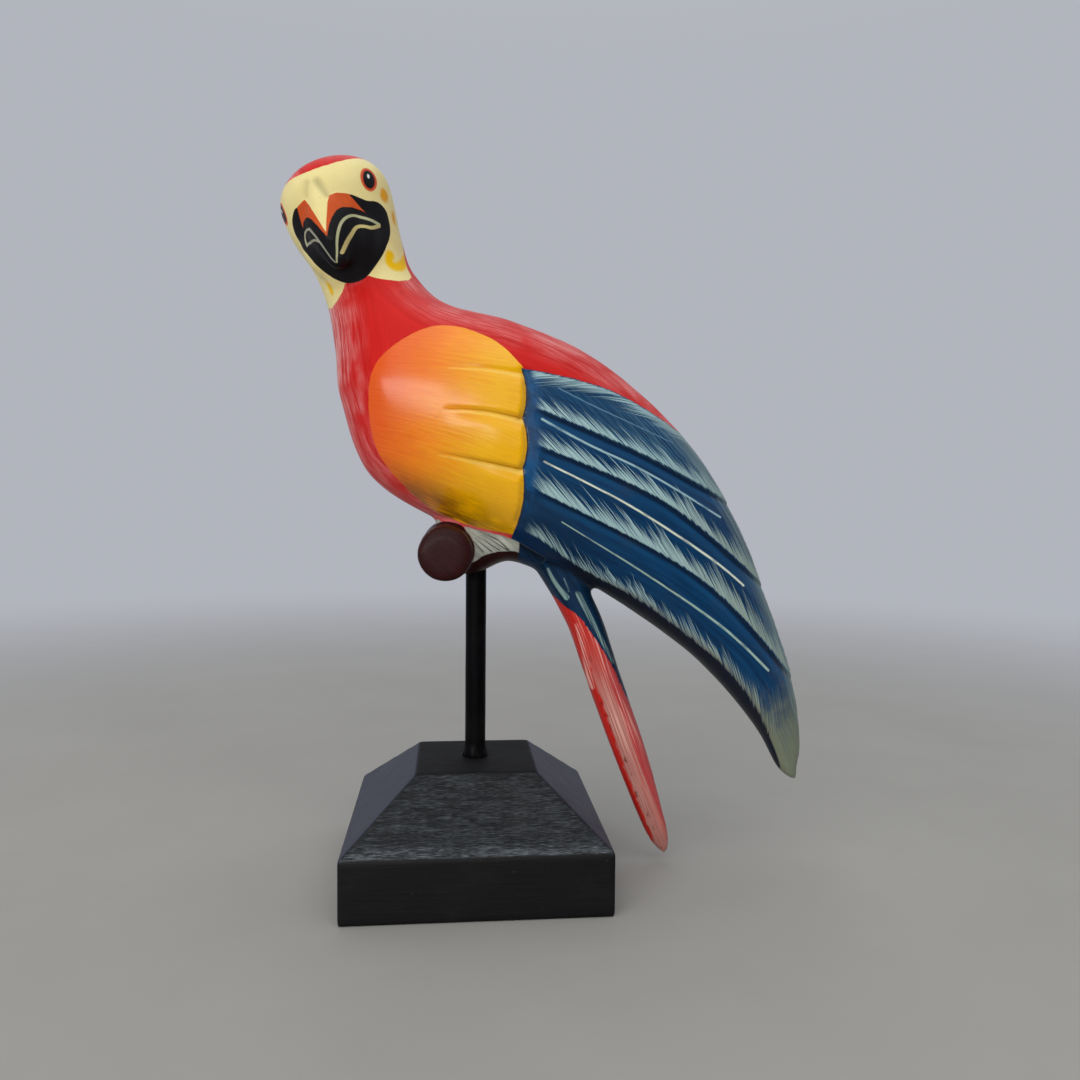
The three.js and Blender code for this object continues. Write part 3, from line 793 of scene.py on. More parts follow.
class Nodes:
    """Adds shader nodes to one tree and joins them."""

    def __init__(self, tree):
        self.tree = tree

    def add(self, kind, inputs=None, **settings):
        made = self.tree.nodes.new(kind)
        for name, value in settings.items():
            setattr(made, name, value)
        self.feed(made, inputs or {})
        return made

    def feed(self, node, inputs):
        """Gives a node's inputs their values, or joins them to other nodes."""
        for place, value in inputs.items():
            if isinstance(value, bpy.types.NodeSocket):
                self.tree.links.new(value, node.inputs[place])
            else:
                node.inputs[place].default_value = value

    def math(self, how, a, b=0.0):
        return self.add("ShaderNodeMath", {0: a, 1: b}, operation=how).outputs[0]

    def ramp(self, value, low, high, to_low=0.0, to_high=1.0):
        """A soft step between two values."""
        places = {0: value, 1: low, 2: high, 3: to_low, 4: to_high}
        return self.add("ShaderNodeMapRange", places, interpolation_type="SMOOTHSTEP", clamp=False).outputs[0]

    def times(self, *values):
        product = values[0]
        for value in values[1:]:
            product = self.math("MULTIPLY", product, value)
        return product

    def plus(self, *values):
        total = values[0]
        for value in values[1:]:
            total = self.math("ADD", total, value)
        return total

    def mix(self, share, under, over):
        return self.add("ShaderNodeMix", {0: share, 6: under, 7: over}, data_type="RGBA").outputs[2]

    def between(self, share, a, b):
        return self.add("ShaderNodeMix", {0: share, 2: a, 3: b}, data_type="FLOAT").outputs[0]

    def field(self, name):
        return self.add("ShaderNodeAttribute", attribute_name=name).outputs["Fac"]

    def line(self, name):
        """Distance from a kept line, and the share of its length."""
        vector = self.add("ShaderNodeAttribute", attribute_name=name).outputs["Vector"]
        axes = ((1, 0, 0), (0, 1, 0))
        parts = (self.add("ShaderNodeVectorMath", {0: vector, 1: a}, operation="DOT_PRODUCT") for a in axes)
        return tuple(part.outputs["Value"] for part in parts)

    def noise(self, vector, scale, detail=2.0, roughness=0.5):
        places = {"Vector": vector, "Scale": scale, "Detail": detail, "Roughness": roughness}
        return self.add("ShaderNodeTexNoise", places).outputs["Fac"]

    def vector(self, x, y, z=0.0):
        return self.add("ShaderNodeCombineXYZ", {0: x, 1: y, 2: z}).outputs[0]

    def use(self, group, inputs):
        made = self.add("ShaderNodeGroup")
        made.node_tree = group
        self.feed(made, inputs)
        return made.outputs


def node_group(name, inputs, outputs):
    """An empty group with float sockets, and its input and output nodes."""
    tree = bpy.data.node_groups.new(name, "ShaderNodeTree")
    for socket, value in inputs.items():
        tree.interface.new_socket(socket, in_out="INPUT", socket_type="NodeSocketFloat").default_value = value
    for socket in outputs:
        tree.interface.new_socket(socket, in_out="OUTPUT", socket_type="NodeSocketFloat")
    return tree, tree.nodes.new("NodeGroupInput").outputs, tree.nodes.new("NodeGroupOutput").inputs


def new_paint(name):
    """A material with nodes, the helper for its tree, and its shader."""
    material = bpy.data.materials.new(name)
    material.use_nodes = True
    return material, Nodes(material.node_tree), material.node_tree.nodes["Principled BSDF"]


# %% Groups: brush strokes, painted edges, barbs, age
def brush_strokes_group():
    """Streaks that are narrow across a stroke and long along it, from 0 to 1."""
    inputs = {"Across": 0.0, "Along": 0.0, "Width": 1.0, "Length": 20.0, "Seed": 0.0}
    tree, given, result = node_group("brush_strokes", inputs, ["Strokes"])
    n = Nodes(tree)
    across = n.math("DIVIDE", given["Across"], given["Width"])
    along = n.math("DIVIDE", given["Along"], given["Length"])
    bristles = n.noise(n.vector(across, along, given["Seed"]), scale=1.0, detail=3.0, roughness=0.6)
    tree.links.new(n.ramp(bristles, 0.3, 0.7), result["Strokes"])
    return tree


def painted_edge_group():
    """A brush-drawn edge: a distance, made a little unsteady, turned into a mask."""
    tree, given, result = node_group("painted_edge", {"Distance": 0.0, "Wobble": 0.4, "Soft": 0.2}, ["Mask"])
    n = Nodes(tree)
    place = n.add("ShaderNodeTexCoord").outputs["Object"]
    unsteady = n.math("SUBTRACT", n.noise(place, scale=320.0, detail=2.0), 0.5)
    distance = n.math("ADD", given["Distance"], n.math("MULTIPLY", unsteady, given["Wobble"]))
    share = n.math("DIVIDE", distance, given["Soft"])
    tree.links.new(n.ramp(share, -1.0, 1.0), result["Mask"])
    return tree


def drawn_stroke_group():
    """One stroke of a small brush, from its distance field: thick at Start, thick at End, round ends."""
    inputs = {"Distance": 0.0, "Share": 0.0, "Length": 10.0, "Start": 0.5, "End": 0.5, "Soft": 0.12}
    tree, given, result = node_group("drawn_stroke", inputs, ["Mask"])
    n = Nodes(tree)
    share = n.math("MAXIMUM", n.math("MINIMUM", given["Share"], 1.0), 0.0)
    half = n.between(share, given["Start"], given["End"])
    past = n.math("MULTIPLY", n.math("SUBTRACT", given["Share"], share), given["Length"])
    reach = n.math("SQRT", n.plus(n.times(past, past), n.times(given["Distance"], given["Distance"])))
    inside = n.math("DIVIDE", n.math("SUBTRACT", half, reach), given["Soft"])
    tree.links.new(n.ramp(inside, -1.0, 1.0), result["Mask"])
    return tree


def barb_strokes_group():
    """A row of tapered strokes: each cell across is one stroke, with a height of its own."""
    inputs = {"Across": 0.0, "Up": 0.0, "Width": 2.0, "Reach": 6.0, "Fill": 0.5, "Seed": 0.0}
    tree, given, result = node_group("barb_strokes", inputs, ["Mask"])
    n = Nodes(tree)
    cell = n.plus(n.math("DIVIDE", given["Across"], given["Width"]), n.times(given["Seed"], 7.31))
    number = n.math("FLOOR", cell)
    aside = n.math("ABSOLUTE", n.math("SUBTRACT", n.math("FRACT", cell), 0.5))
    draw = n.plus(number, n.times(given["Seed"], 31.7))
    chance = n.add("ShaderNodeTexWhiteNoise", {"W": draw}, noise_dimensions="1D").outputs["Value"]
    place = n.vector(n.times(number, given["Width"], 0.1), given["Seed"])
    clump = n.ramp(n.noise(place, scale=1.0, detail=1.0), 0.3, 0.7)
    top = n.times(given["Reach"], n.plus(0.14, n.times(clump, 0.44), n.times(chance, 0.46)))
    left = n.math("SUBTRACT", top, given["Up"])
    taper = n.math("DIVIDE", left, n.times(given["Reach"], 0.7))
    half = n.times(given["Fill"], n.math("MAXIMUM", taper, 0.0))
    half = n.math("MINIMUM", half, given["Fill"])
    shape = n.ramp(n.math("SUBTRACT", half, aside), -0.08, 0.08)
    tree.links.new(n.times(shape, n.ramp(left, 0.0, 2.4)), result["Mask"])
    return tree


def age_group():
    """Handling over years: cloudy grime, small dark specks and an uneven sheen."""
    tree, given, result = node_group("age", {"Amount": 1.0, "Seed": 0.0}, ["Grime", "Specks", "Sheen"])
    n = Nodes(tree)
    place = n.add("ShaderNodeTexCoord").outputs["Object"]
    shift = n.vector(given["Seed"], given["Seed"], given["Seed"])
    place = n.add("ShaderNodeVectorMath", {0: place, 1: shift}, operation="ADD").outputs[0]
    grime = n.ramp(n.noise(place, scale=45.0, detail=5.0, roughness=0.6), 0.5, 0.75)
    tree.links.new(n.math("MULTIPLY", grime, given["Amount"]), result["Grime"])
    specks = n.ramp(n.noise(place, scale=700.0, detail=1.0), 0.79, 0.83)
    tree.links.new(n.math("MULTIPLY", specks, given["Amount"]), result["Specks"])
    tree.links.new(n.noise(place, scale=130.0, detail=4.0, roughness=0.65), result["Sheen"])
    return tree


BRUSH, EDGE, STROKE = brush_strokes_group(), painted_edge_group(), drawn_stroke_group()
BARBS, AGE = barb_strokes_group(), age_group()
print("groups:", [group.name for group in (BRUSH, EDGE, STROKE, BARBS, AGE)])


def brush(n, across, along, width, length, seed):
    return n.use(BRUSH, {"Across": across, "Along": along, "Width": width, "Length": length, "Seed": seed})[0]


def edge(n, distance, wobble=0.4, soft=0.22):
    return n.use(EDGE, {"Distance": distance, "Wobble": wobble, "Soft": soft})[0]


def stroke(n, name, length, start, end, soft=0.12):
    distance, share = n.line(name)
    return n.use(STROKE, {"Distance": distance, "Share": share, "Length": length,
                          "Start": start, "End": end, "Soft": soft})[0]


# %% [markdown]
# ## The bird's colours
# The painter laid the red first, then the yellow shoulder, then the blue wing, and drew the feathers'
# barbs over the blue in pale green, from each feather's lower edge upwards. The nodes go in the same
# order, each colour over the last through a mask with a drawn edge.

# %% Red body
RED_DEEP = srgb(188, 16, 12)
RED_BRIGHT = srgb(210, 28, 22)
RED_CHALK_AND_SHEEN = srgb(230, 170, 168)


def paint_red(n, place):
    """Red over the whole bird, faintly streaked along its outline, chalky and with painted sheen near its
    edges.
    """
    front_in, back_in = n.field("front_in"), n.field("back_in")
    near_back = n.ramp(n.math("SUBTRACT", front_in, back_in), -8.0, 8.0)
    front = brush(n, front_in, n.field("front_along"), width=2.6, length=40.0, seed=1.0)
    back = brush(n, back_in, n.field("back_along"), width=2.6, length=40.0, seed=2.0)
    streaks = n.between(near_back, front, back)
    fine_front = brush(n, front_in, n.field("front_along"), width=0.45, length=14.0, seed=3.0)
    fine_back = brush(n, back_in, n.field("back_along"), width=0.45, length=14.0, seed=4.0)
    fine = n.between(near_back, fine_front, fine_back)
    red = n.mix(n.plus(n.times(streaks, 0.6), n.times(fine, 0.4)), RED_DEEP, RED_BRIGHT)
    # Pale streaks near the outline, strongest towards the front and the top: partly chalky rubbed paint,
    # partly painted sheen of the varnish.
    rim = n.ramp(n.math("MINIMUM", front_in, back_in), 16.0, 2.0)
    patches = n.ramp(n.noise(place, scale=48.0, detail=3.0, roughness=0.55), 0.34, 0.6)
    chalk_and_sheen = n.times(n.ramp(n.plus(n.times(streaks, 0.35), n.times(fine, 0.65)), 0.15, 0.8), patches, rim)
    toward_front = n.ramp(n.field("y"), 12.0, -8.0, 0.3, 1.0)
    less_behind = n.between(near_back, 0.9, 0.5)
    less_below = n.ramp(n.field("z"), 160.0, 198.0, 0.45, 1.0)
    chalk_and_sheen = n.times(chalk_and_sheen, less_behind, toward_front, less_below)
    return n.mix(chalk_and_sheen, red, RED_CHALK_AND_SHEEN), fine


# %% [markdown]
# ## Shoulder
# The shoulder was painted wet in wet, so its orange runs into yellow without an edge. A plain ramp along
# x would look sprayed. Here brush lines and a cloud shift the blend first, as a brush would drag it.
# The pads' creases get a thin line of painted shade and a painted highlight on the lip below, and the hem is
# darker brown in patches.

# %% Yellow shoulder
# how strongly each pad's crease gets painted shade and its lip a painted highlight
PAD_SHADE_AND_HIGHLIGHT = ((0.0, 0.5), (0.6, 0.55), (0.7, 0.6))
BREAST_ORANGE = srgb(228, 88, 20)
WARM_ORANGE = srgb(242, 130, 14)
PAD_YELLOW = srgb(246, 182, 2)
HAIR_LINE = srgb(206, 100, 10)
HEM_BROWN = srgb(104, 56, 14)
LIP_HIGHLIGHT = srgb(255, 214, 96)
CREASE_SHADE = srgb(132, 70, 4)


def paint_shoulder(n, under, x, z, place):
    """Orange at the breast running into yellow at the wing, with fine brush lines and a hem darker brown in
    patches.
    """
    lean = n.ramp(z, 200.0, 150.0, 0.1, 0.42)
    across = n.plus(z, n.times(x, lean))
    along = n.plus(x, n.times(z, -0.2))
    lines = brush(n, across, along, width=0.9, length=16.0, seed=5.0)
    hairs = brush(n, across, along, width=0.4, length=9.0, seed=9.0)
    cloud = n.noise(place, scale=60.0, detail=3.0, roughness=0.55)
    higher = n.times(n.math("SUBTRACT", z, 170.0), -0.22)
    brushed = n.times(n.math("SUBTRACT", lines, 0.5), 5.0)
    blend = n.plus(x, higher, brushed)
    blend = n.plus(blend, n.times(n.math("SUBTRACT", cloud, 0.5), 8.0))
    colour = n.mix(n.ramp(blend, -42.0, -14.0), BREAST_ORANGE, WARM_ORANGE)
    colour = n.mix(n.ramp(blend, -24.0, 6.0), colour, PAD_YELLOW)
    faint = n.times(n.ramp(hairs, 0.8, 0.2), n.ramp(lines, 0.7, 0.2, 0.3, 1.0), 0.16)
    colour = n.mix(faint, colour, HAIR_LINE)
    # Darker brown patches towards the bottom of the shoulder.
    low = n.ramp(n.plus(z, n.times(x, 0.36)), 152.0, 135.0)
    hem_patches = n.ramp(n.plus(n.times(hairs, 0.3), n.times(cloud, 1.2)), 0.48, 0.88)
    colour = n.mix(n.times(low, hem_patches, n.ramp(x, 12.0, -10.0, 0.4, 0.9)), colour, HEM_BROWN)
    # Each crease gets a thin line of painted shade, and the lip below it a painted highlight.
    for number, (dark, lip) in enumerate(PAD_SHADE_AND_HIGHLIGHT, 1):
        distance, share = n.line(f"pad_{number}")
        drawn = {"Share": share, "Length": 30.0, "Soft": 0.3}
        lit_lip = n.use(STROKE, {**drawn, "Distance": n.plus(distance, 1.2), "Start": 0.15, "End": 0.85})[0]
        colour = n.mix(n.times(lit_lip, lip), colour, LIP_HIGHLIGHT)
        shaded_crease = n.use(STROKE, {**drawn, "Distance": distance, "Start": 0.0, "End": 0.22})[0]
        colour = n.mix(n.times(shaded_crease, dark), colour, CREASE_SHADE)
    return n.mix(edge(n, n.field("shoulder"), wobble=0.5, soft=0.22), under, colour), lines


# %% [markdown]
# ## Wing
# Each feather is blue, with pale barbs drawn up from its lower edge by a nearly dry brush. Stretched
# noise gives streaks, but no separate strokes. The barb group gives every stroke a cell of its own, with
# its own height and taper, and three rows of different widths lie over one another.

# %% Blue wing
BARB_SLANT, TOP_SLANT = (1 / math.tan(math.radians(turn)) for turn in (24, 17))
# rows of strokes: width of a stroke, its share of the fill and its share of the reach
BARB_ROWS = ((3.8, 1.0, 0.8), (2.2, 0.85, 1.0), (1.3, 0.8, 1.15))
BARB_FILL = (0.5, 0.54, 0.54, 0.4)
FEATHER_REACH = (7.8, 8.4, 9.8, 7.4)
# half width at the start and end of each quill, and its colour
QUILL_PAINT = (
    (0.22, 0.16, (92, 134, 160)),
    (0.46, 0.38, (150, 184, 192)),
    (0.32, 0.5, (214, 224, 206)),
    (0.18, 0.55, (158, 186, 176)),
)


def own_feather(n, values):
    """For the feather that a point is on, its value: one each for the four feathers."""
    chosen = values[3]
    for number in (3, 2, 1):
        on_it = n.math("GREATER_THAN", n.field(f"feather_{number}"), 0.0)
        chosen = n.between(on_it, chosen, values[number - 1])
    return chosen


def barbs(n, up_edge, along, reach, slant, fill, seed):
    """Pale strokes that leave an edge at a slant: nearly solid at their foot, thin at their tips."""
    across = n.plus(along, n.times(up_edge, slant))
    hairs = brush(n, across, up_edge, width=0.7, length=26.0, seed=seed)
    bristles = brush(n, across, up_edge, width=1.9, length=40.0, seed=seed + 1)
    up = n.plus(up_edge, n.times(n.math("SUBTRACT", hairs, 0.5), -2.0))
    drawn = 0.0
    for number, (width, full, tall) in enumerate(BARB_ROWS):
        given = {"Across": across, "Up": up, "Width": width, "Seed": seed + number}
        given.update(Reach=n.times(reach, tall), Fill=n.times(fill, full))
        drawn = n.math("MAXIMUM", n.use(BARBS, given)[0], drawn)
    foot = n.ramp(n.math("SUBTRACT", up_edge, n.times(bristles, 0.8)), 0.05, 0.5)
    worn = n.ramp(n.plus(n.times(hairs, 0.6), n.times(bristles, 0.4)), 0.15, 0.6, 0.45, 1.0)
    return n.times(drawn, foot, worn)


BLUE_DEEP = srgb(3, 44, 80)
BLUE_BRIGHT = srgb(7, 62, 103)
BLUE_SHADED = srgb(18, 42, 68)
LIT_STEP_BLUE = srgb(12, 80, 132)
BARB_PALE = srgb(178, 211, 211)
BARB_GREY = srgb(154, 172, 160)
BARB_BROWN = srgb(118, 104, 80)
DRY_BLUE = srgb(104, 150, 168)
RIDGE_WEAR_AND_SHEEN = srgb(122, 142, 138)
CUT_LIT = srgb(22, 86, 134)
CUT_SHADE = srgb(6, 26, 50)
TIP_GREY = srgb(122, 128, 106)
STEP_SHADE = srgb(8, 26, 48)
UNDER_NAVY_AND_SHADE = srgb(10, 25, 44)
UNDER_GREY = srgb(30, 31, 38)
UNDER_BLUE = srgb(10, 44, 80)


def paint_wing(n, under, x, z, place):
    """Blue feathers with pale barbs, drawn quills, painted shade and light at the cuts, and a worn ridge with
    painted sheen.
    """
    step, below_top, along = n.field("step"), n.field("below_top"), n.field("feather_along")
    up_edge = own_feather(n, [n.field(f"feather_{k}") for k in (1, 2, 3, 4)])
    reach = own_feather(n, FEATHER_REACH)
    streaks = brush(n, up_edge, along, width=1.6, length=30.0, seed=7.0)
    cloud = n.noise(place, scale=150.0, detail=4.0, roughness=0.6)
    colour = n.mix(streaks, BLUE_DEEP, BLUE_BRIGHT)
    lowest = n.ramp(n.field("feather_3"), 0.0, -3.0)
    colour = n.mix(n.times(lowest, n.ramp(x, 60.0, 20.0), 0.6), colour, BLUE_SHADED)
    # A lighter, mottled blue band beside the step: painted light on the slope that runs down to it.
    cloudy = n.times(cloud, 1.2)
    brushed = n.times(brush(n, step, z, width=1.2, length=9.0, seed=8.0), 0.4)
    mottle = n.ramp(n.plus(cloudy, brushed), 0.5, 1.1, 0.05, 0.85)
    lit_band = n.times(n.ramp(step, 6.6, 3.4), mottle, n.ramp(z, 136.0, 150.0))
    colour = n.mix(lit_band, colour, LIT_STEP_BLUE)
    pale = n.mix(n.ramp(x, 55.0, 115.0), BARB_PALE, BARB_GREY)
    brown = n.times(lowest, n.ramp(x, 30.0, 60.0), n.ramp(n.field("feather_4"), 3.4, 0.4), 0.75)
    pale = n.mix(brown, pale, BARB_BROWN)
    fill = own_feather(n, BARB_FILL)
    rising = barbs(n, up_edge, along, reach, BARB_SLANT, fill, 11.0)
    off_band = n.ramp(n.plus(step, n.times(cloud, 4.0)), 5.0, 9.5)
    colour = n.mix(n.times(rising, off_band, 0.92), colour, pale)
    on_first = n.math("GREATER_THAN", n.field("feather_1"), 0.0)
    hanging = barbs(n, n.plus(below_top, 0.3), along, 6.6, TOP_SLANT, 0.5, 21.0)
    colour = n.mix(n.times(hanging, on_first, n.ramp(step, 2.0, 5.0), 0.85), colour, pale)
    slanted = n.plus(along, n.times(up_edge, BARB_SLANT))
    dry = n.ramp(brush(n, slanted, up_edge, width=1.3, length=40.0, seed=33.0), 0.3, 0.75)
    colour = n.mix(n.times(on_first, dry, n.ramp(x, 30.0, 75.0, 0.08, 0.34)), colour, DRY_BLUE)
    # Pale grey along the ridge: partly worn paint, partly painted sheen where the surface turns to the top.
    back_in = n.field("back_in")
    ragged = n.times(brush(n, slanted, up_edge, width=1.6, length=30.0, seed=31.0), -5.0)
    ridge = n.ramp(n.plus(back_in, ragged), 6.0, -3.0)
    colour = n.mix(n.times(ridge, n.ramp(x, 60.0, 90.0, 0.3, 0.7)), colour, RIDGE_WEAR_AND_SHEEN)
    for number in (1, 2, 3):
        own = n.field(f"feather_{number}")
        clear = n.times(n.ramp(step, 2.0, 9.0), n.ramp(n.field("back_in"), 0.0, 6.0))
        lit = n.times(n.ramp(own, -4.4, -2.2), n.ramp(own, -0.9, -1.8), clear)
        colour = n.mix(n.times(lit, 0.35), colour, CUT_LIT)
        shade = n.times(n.ramp(own, -1.3, -0.4), n.ramp(own, 0.55, 0.1), clear)
        colour = n.mix(n.times(shade, 0.75), colour, CUT_SHADE)
    for number, (start, end, tint) in enumerate(QUILL_PAINT, 1):
        distance, share = n.line(f"quill_{number}")
        bristles = brush(n, distance, along, width=1.0, length=9.0, seed=40.0 + number)
        broken = n.ramp(bristles, 0.05, 0.5, 0.45, 1.0)
        line = n.times(stroke(n, f"quill_{number}", length=80.0, start=start, end=end, soft=0.16), broken)
        colour = n.mix(line, colour, srgb(*tint))
    tip = n.times(n.ramp(n.plus(z, n.times(cloud, 24.0), n.times(dry, 8.0)), 92.0, 62.0), 0.85)
    colour = n.mix(tip, colour, TIP_GREY)
    under_edge = n.times(n.ramp(n.plus(step, n.times(cloud, 0.9)), 1.7, 0.7), 0.85)
    colour = n.mix(under_edge, colour, STEP_SHADE)
    # Below the lowest feather's edge the wing turns under: navy paint, darkened further as painted shade.
    teeth = brush(n, slanted, up_edge, width=1.9, length=40.0, seed=12.0)
    below = n.ramp(n.plus(n.field("feather_4"), n.times(teeth, -1.6)), 0.3, -0.5)
    outer = n.ramp(x, 22.0, 40.0)
    underside = n.mix(cloud, UNDER_NAVY_AND_SHADE, UNDER_GREY)
    colour = n.mix(below, colour, n.mix(outer, UNDER_BLUE, underside))
    past_step = edge(n, step, wobble=0.5, soft=0.2)
    on_wing = n.math("MINIMUM", past_step, edge(n, below_top, wobble=0.7, soft=0.22))
    return n.mix(on_wing, under, colour)


# %% [markdown]
# ## Tail, feet and branch
# The tail is red, rubbed pale along its length, and blue at its root and upper edge. The feet are chalky
# grey with thin drawn lines, and the branch is bark brown. The streaks follow the tail's own outline,
# which the kept distances give, so that nothing has to be unwrapped.

# %% Tail, feet and branch
# half width of each pale mark at its start and end, and how broken it is
TAIL_MARKS = ((0.45, 1.0, 0.0), (0.12, 0.16, 0.0), (1.1, 0.6, 0.45))
TAIL_RED_DEEP = srgb(188, 28, 24)
TAIL_RED_BRIGHT = srgb(214, 50, 42)
WORN_DEEP = srgb(166, 106, 98)
WORN_PALE = srgb(192, 146, 136)
FAR_DEEP = srgb(166, 52, 58)
FAR_PALE = srgb(188, 92, 94)
THIN_PINK = srgb(226, 170, 158)
RUBBED_BROWN = srgb(92, 34, 32)
GLEAM_PINK = srgb(246, 186, 176)
TAIL_BLUE_DEEP = srgb(8, 32, 57)
TAIL_BLUE_BRIGHT = srgb(15, 54, 88)
MARK_PALE = srgb(140, 172, 168)
WING_SHADOW = srgb(8, 12, 22)


def paint_tail(n, under):
    """Blue at the root and along the upper edge; below it red, worn pale in long streaks."""
    tail_in, along = n.field("tail_in"), n.field("tail_along")
    streaks = brush(n, tail_in, along, width=1.5, length=70.0, seed=51.0)
    fine = brush(n, tail_in, along, width=0.5, length=34.0, seed=52.0)
    ragged = brush(n, tail_in, along, width=3.0, length=5.0, seed=53.0)
    hairs = brush(n, tail_in, along, width=0.55, length=40.0, seed=54.0)
    red = n.mix(fine, TAIL_RED_DEEP, TAIL_RED_BRIGHT)
    low = n.ramp(along, 36.0, 82.0)
    border = n.plus(tail_in, n.times(ragged, -0.9), n.times(fine, -0.5), n.ramp(along, 60.0, 120.0, 0.0, 1.0))
    inner = n.ramp(border, 1.5, 2.2)
    worn = n.times(inner, n.ramp(tail_in, 8.6, 7.2), low, n.ramp(streaks, 0.0, 0.5, 0.5, 0.9))
    red = n.mix(worn, red, n.mix(fine, WORN_DEEP, WORN_PALE))
    far = n.times(n.ramp(tail_in, 7.2, 8.4), n.ramp(along, 40.0, 70.0), 0.7)
    red = n.mix(far, red, n.mix(streaks, FAR_DEEP, FAR_PALE))
    thin = n.times(inner, n.ramp(fine, 0.55, 0.9), n.ramp(along, 22.0, 44.0), n.ramp(along, 110.0, 80.0), 0.7)
    red = n.mix(thin, red, THIN_PINK)
    near_border = n.ramp(n.math("ABSOLUTE", n.math("SUBTRACT", tail_in, 2.6)), 1.6, 0.3)
    rub = n.ramp(n.noise(n.vector(tail_in, n.times(along, 0.4), 7.0), scale=0.6, detail=3.0), 0.56, 0.66)
    red = n.mix(n.times(rub, near_border, 0.75), red, RUBBED_BROWN)
    drawn = stroke(n, "tail_gleam", length=30.0, start=0.4, end=1.0, soft=0.5)
    gleam = n.times(drawn, n.ramp(fine, 0.1, 0.6), 0.9)
    red = n.mix(gleam, red, GLEAM_PINK)
    blue = n.mix(streaks, TAIL_BLUE_DEEP, TAIL_BLUE_BRIGHT)
    for number, (start, end, sparse) in enumerate(TAIL_MARKS, 1):
        drawn = stroke(n, f"tail_stroke_{number}", length=14.0, start=start, end=end, soft=0.3)
        mark = n.times(drawn, n.ramp(hairs, sparse, 0.6, 0.15, 0.9))
        blue = n.mix(mark, blue, MARK_PALE)
    dark = n.times(n.ramp(n.field("under_wing"), 2.6, 0.2), 0.9)
    blue = n.mix(dark, blue, WING_SHADOW)
    blue_edge = n.plus(n.field("tail_blue"), n.times(ragged, 0.8))
    colour = n.mix(edge(n, blue_edge, wobble=0.9, soft=0.25), red, blue)
    root = n.math("MAXIMUM", n.field("tail"), n.math("MINIMUM", n.field("feet"), n.field("foot_end")))
    return n.mix(edge(n, root, wobble=0.3, soft=0.22), under, colour)


FOOT_DEEP = srgb(150, 152, 142)
FOOT_PALE = srgb(196, 200, 188)
TOE_INK = srgb(26, 24, 24)
FOOT_SHADOW = srgb(84, 82, 74)
BARK_DEEP = srgb(38, 7, 8)
BARK_BRIGHT = srgb(48, 12, 12)


def paint_feet(n, under, x, z):
    """Chalky grey feet with a few thin drawn lines, and the bark-brown arch that carries them."""
    streaks = brush(n, n.plus(x, z), z, width=1.2, length=14.0, seed=61.0)
    grey = n.mix(streaks, FOOT_DEEP, FOOT_PALE)
    for number in range(1, len(TOE_LINES) + 1):
        line = stroke(n, f"toe_{number}", length=10.0, start=0.08, end=0.2, soft=0.1)
        grey = n.mix(n.times(line, 0.9), grey, TOE_INK)
    shadow = n.times(n.ramp(n.field("feet_clear"), 1.6, 0.0), 0.55)
    grey = n.mix(shadow, grey, FOOT_SHADOW)
    brown = n.mix(streaks, BARK_DEEP, BARK_BRIGHT)
    colour = n.mix(edge(n, n.field("above_arch"), wobble=0.6, soft=0.2), brown, grey)
    return n.mix(edge(n, n.field("feet"), wobble=0.3, soft=0.22), under, colour), brown


# %% [markdown]
# ## Face
# The face is flat paint with crisp edges: cream first, then ochre spots, the black beak, its orange cere
# and the pale mouth lines. An image would need a large texture to stay sharp here, while a distance
# with a narrow step is sharp at any size. Each eye is rings of one ellipse with a glint.

# %% Face
# length of each line, its half width at the start and end, and its colour
MOUTH_PAINT = (
    (22.0, 0.22, 0.66, (176, 176, 138)),
    (20.0, 0.66, 0.5, (196, 182, 122)),
    (17.0, 0.16, 0.38, (150, 150, 136)),
    (9.0, 0.38, 0.5, (168, 166, 140)),
    (9.0, 0.5, 0.3, (156, 154, 134)),
)
CREAM_DEEP = srgb(224, 206, 136)
CREAM_PALE = srgb(240, 226, 164)
CERE_SHADE_AND_DIRT = srgb(132, 128, 88)
OCHRE_DEEP = srgb(224, 158, 16)
OCHRE_BRIGHT = srgb(238, 190, 0)
INK_DEEP = srgb(9, 8, 12)
INK_PALE = srgb(16, 15, 20)
CERE_DEEP = srgb(188, 68, 24)
CERE_BRIGHT = srgb(208, 92, 38)
EYE_RIM = srgb(212, 96, 58)
EYE_RING = srgb(192, 66, 30)
PUPIL = srgb(14, 13, 16)
GLINT = srgb(232, 232, 226)


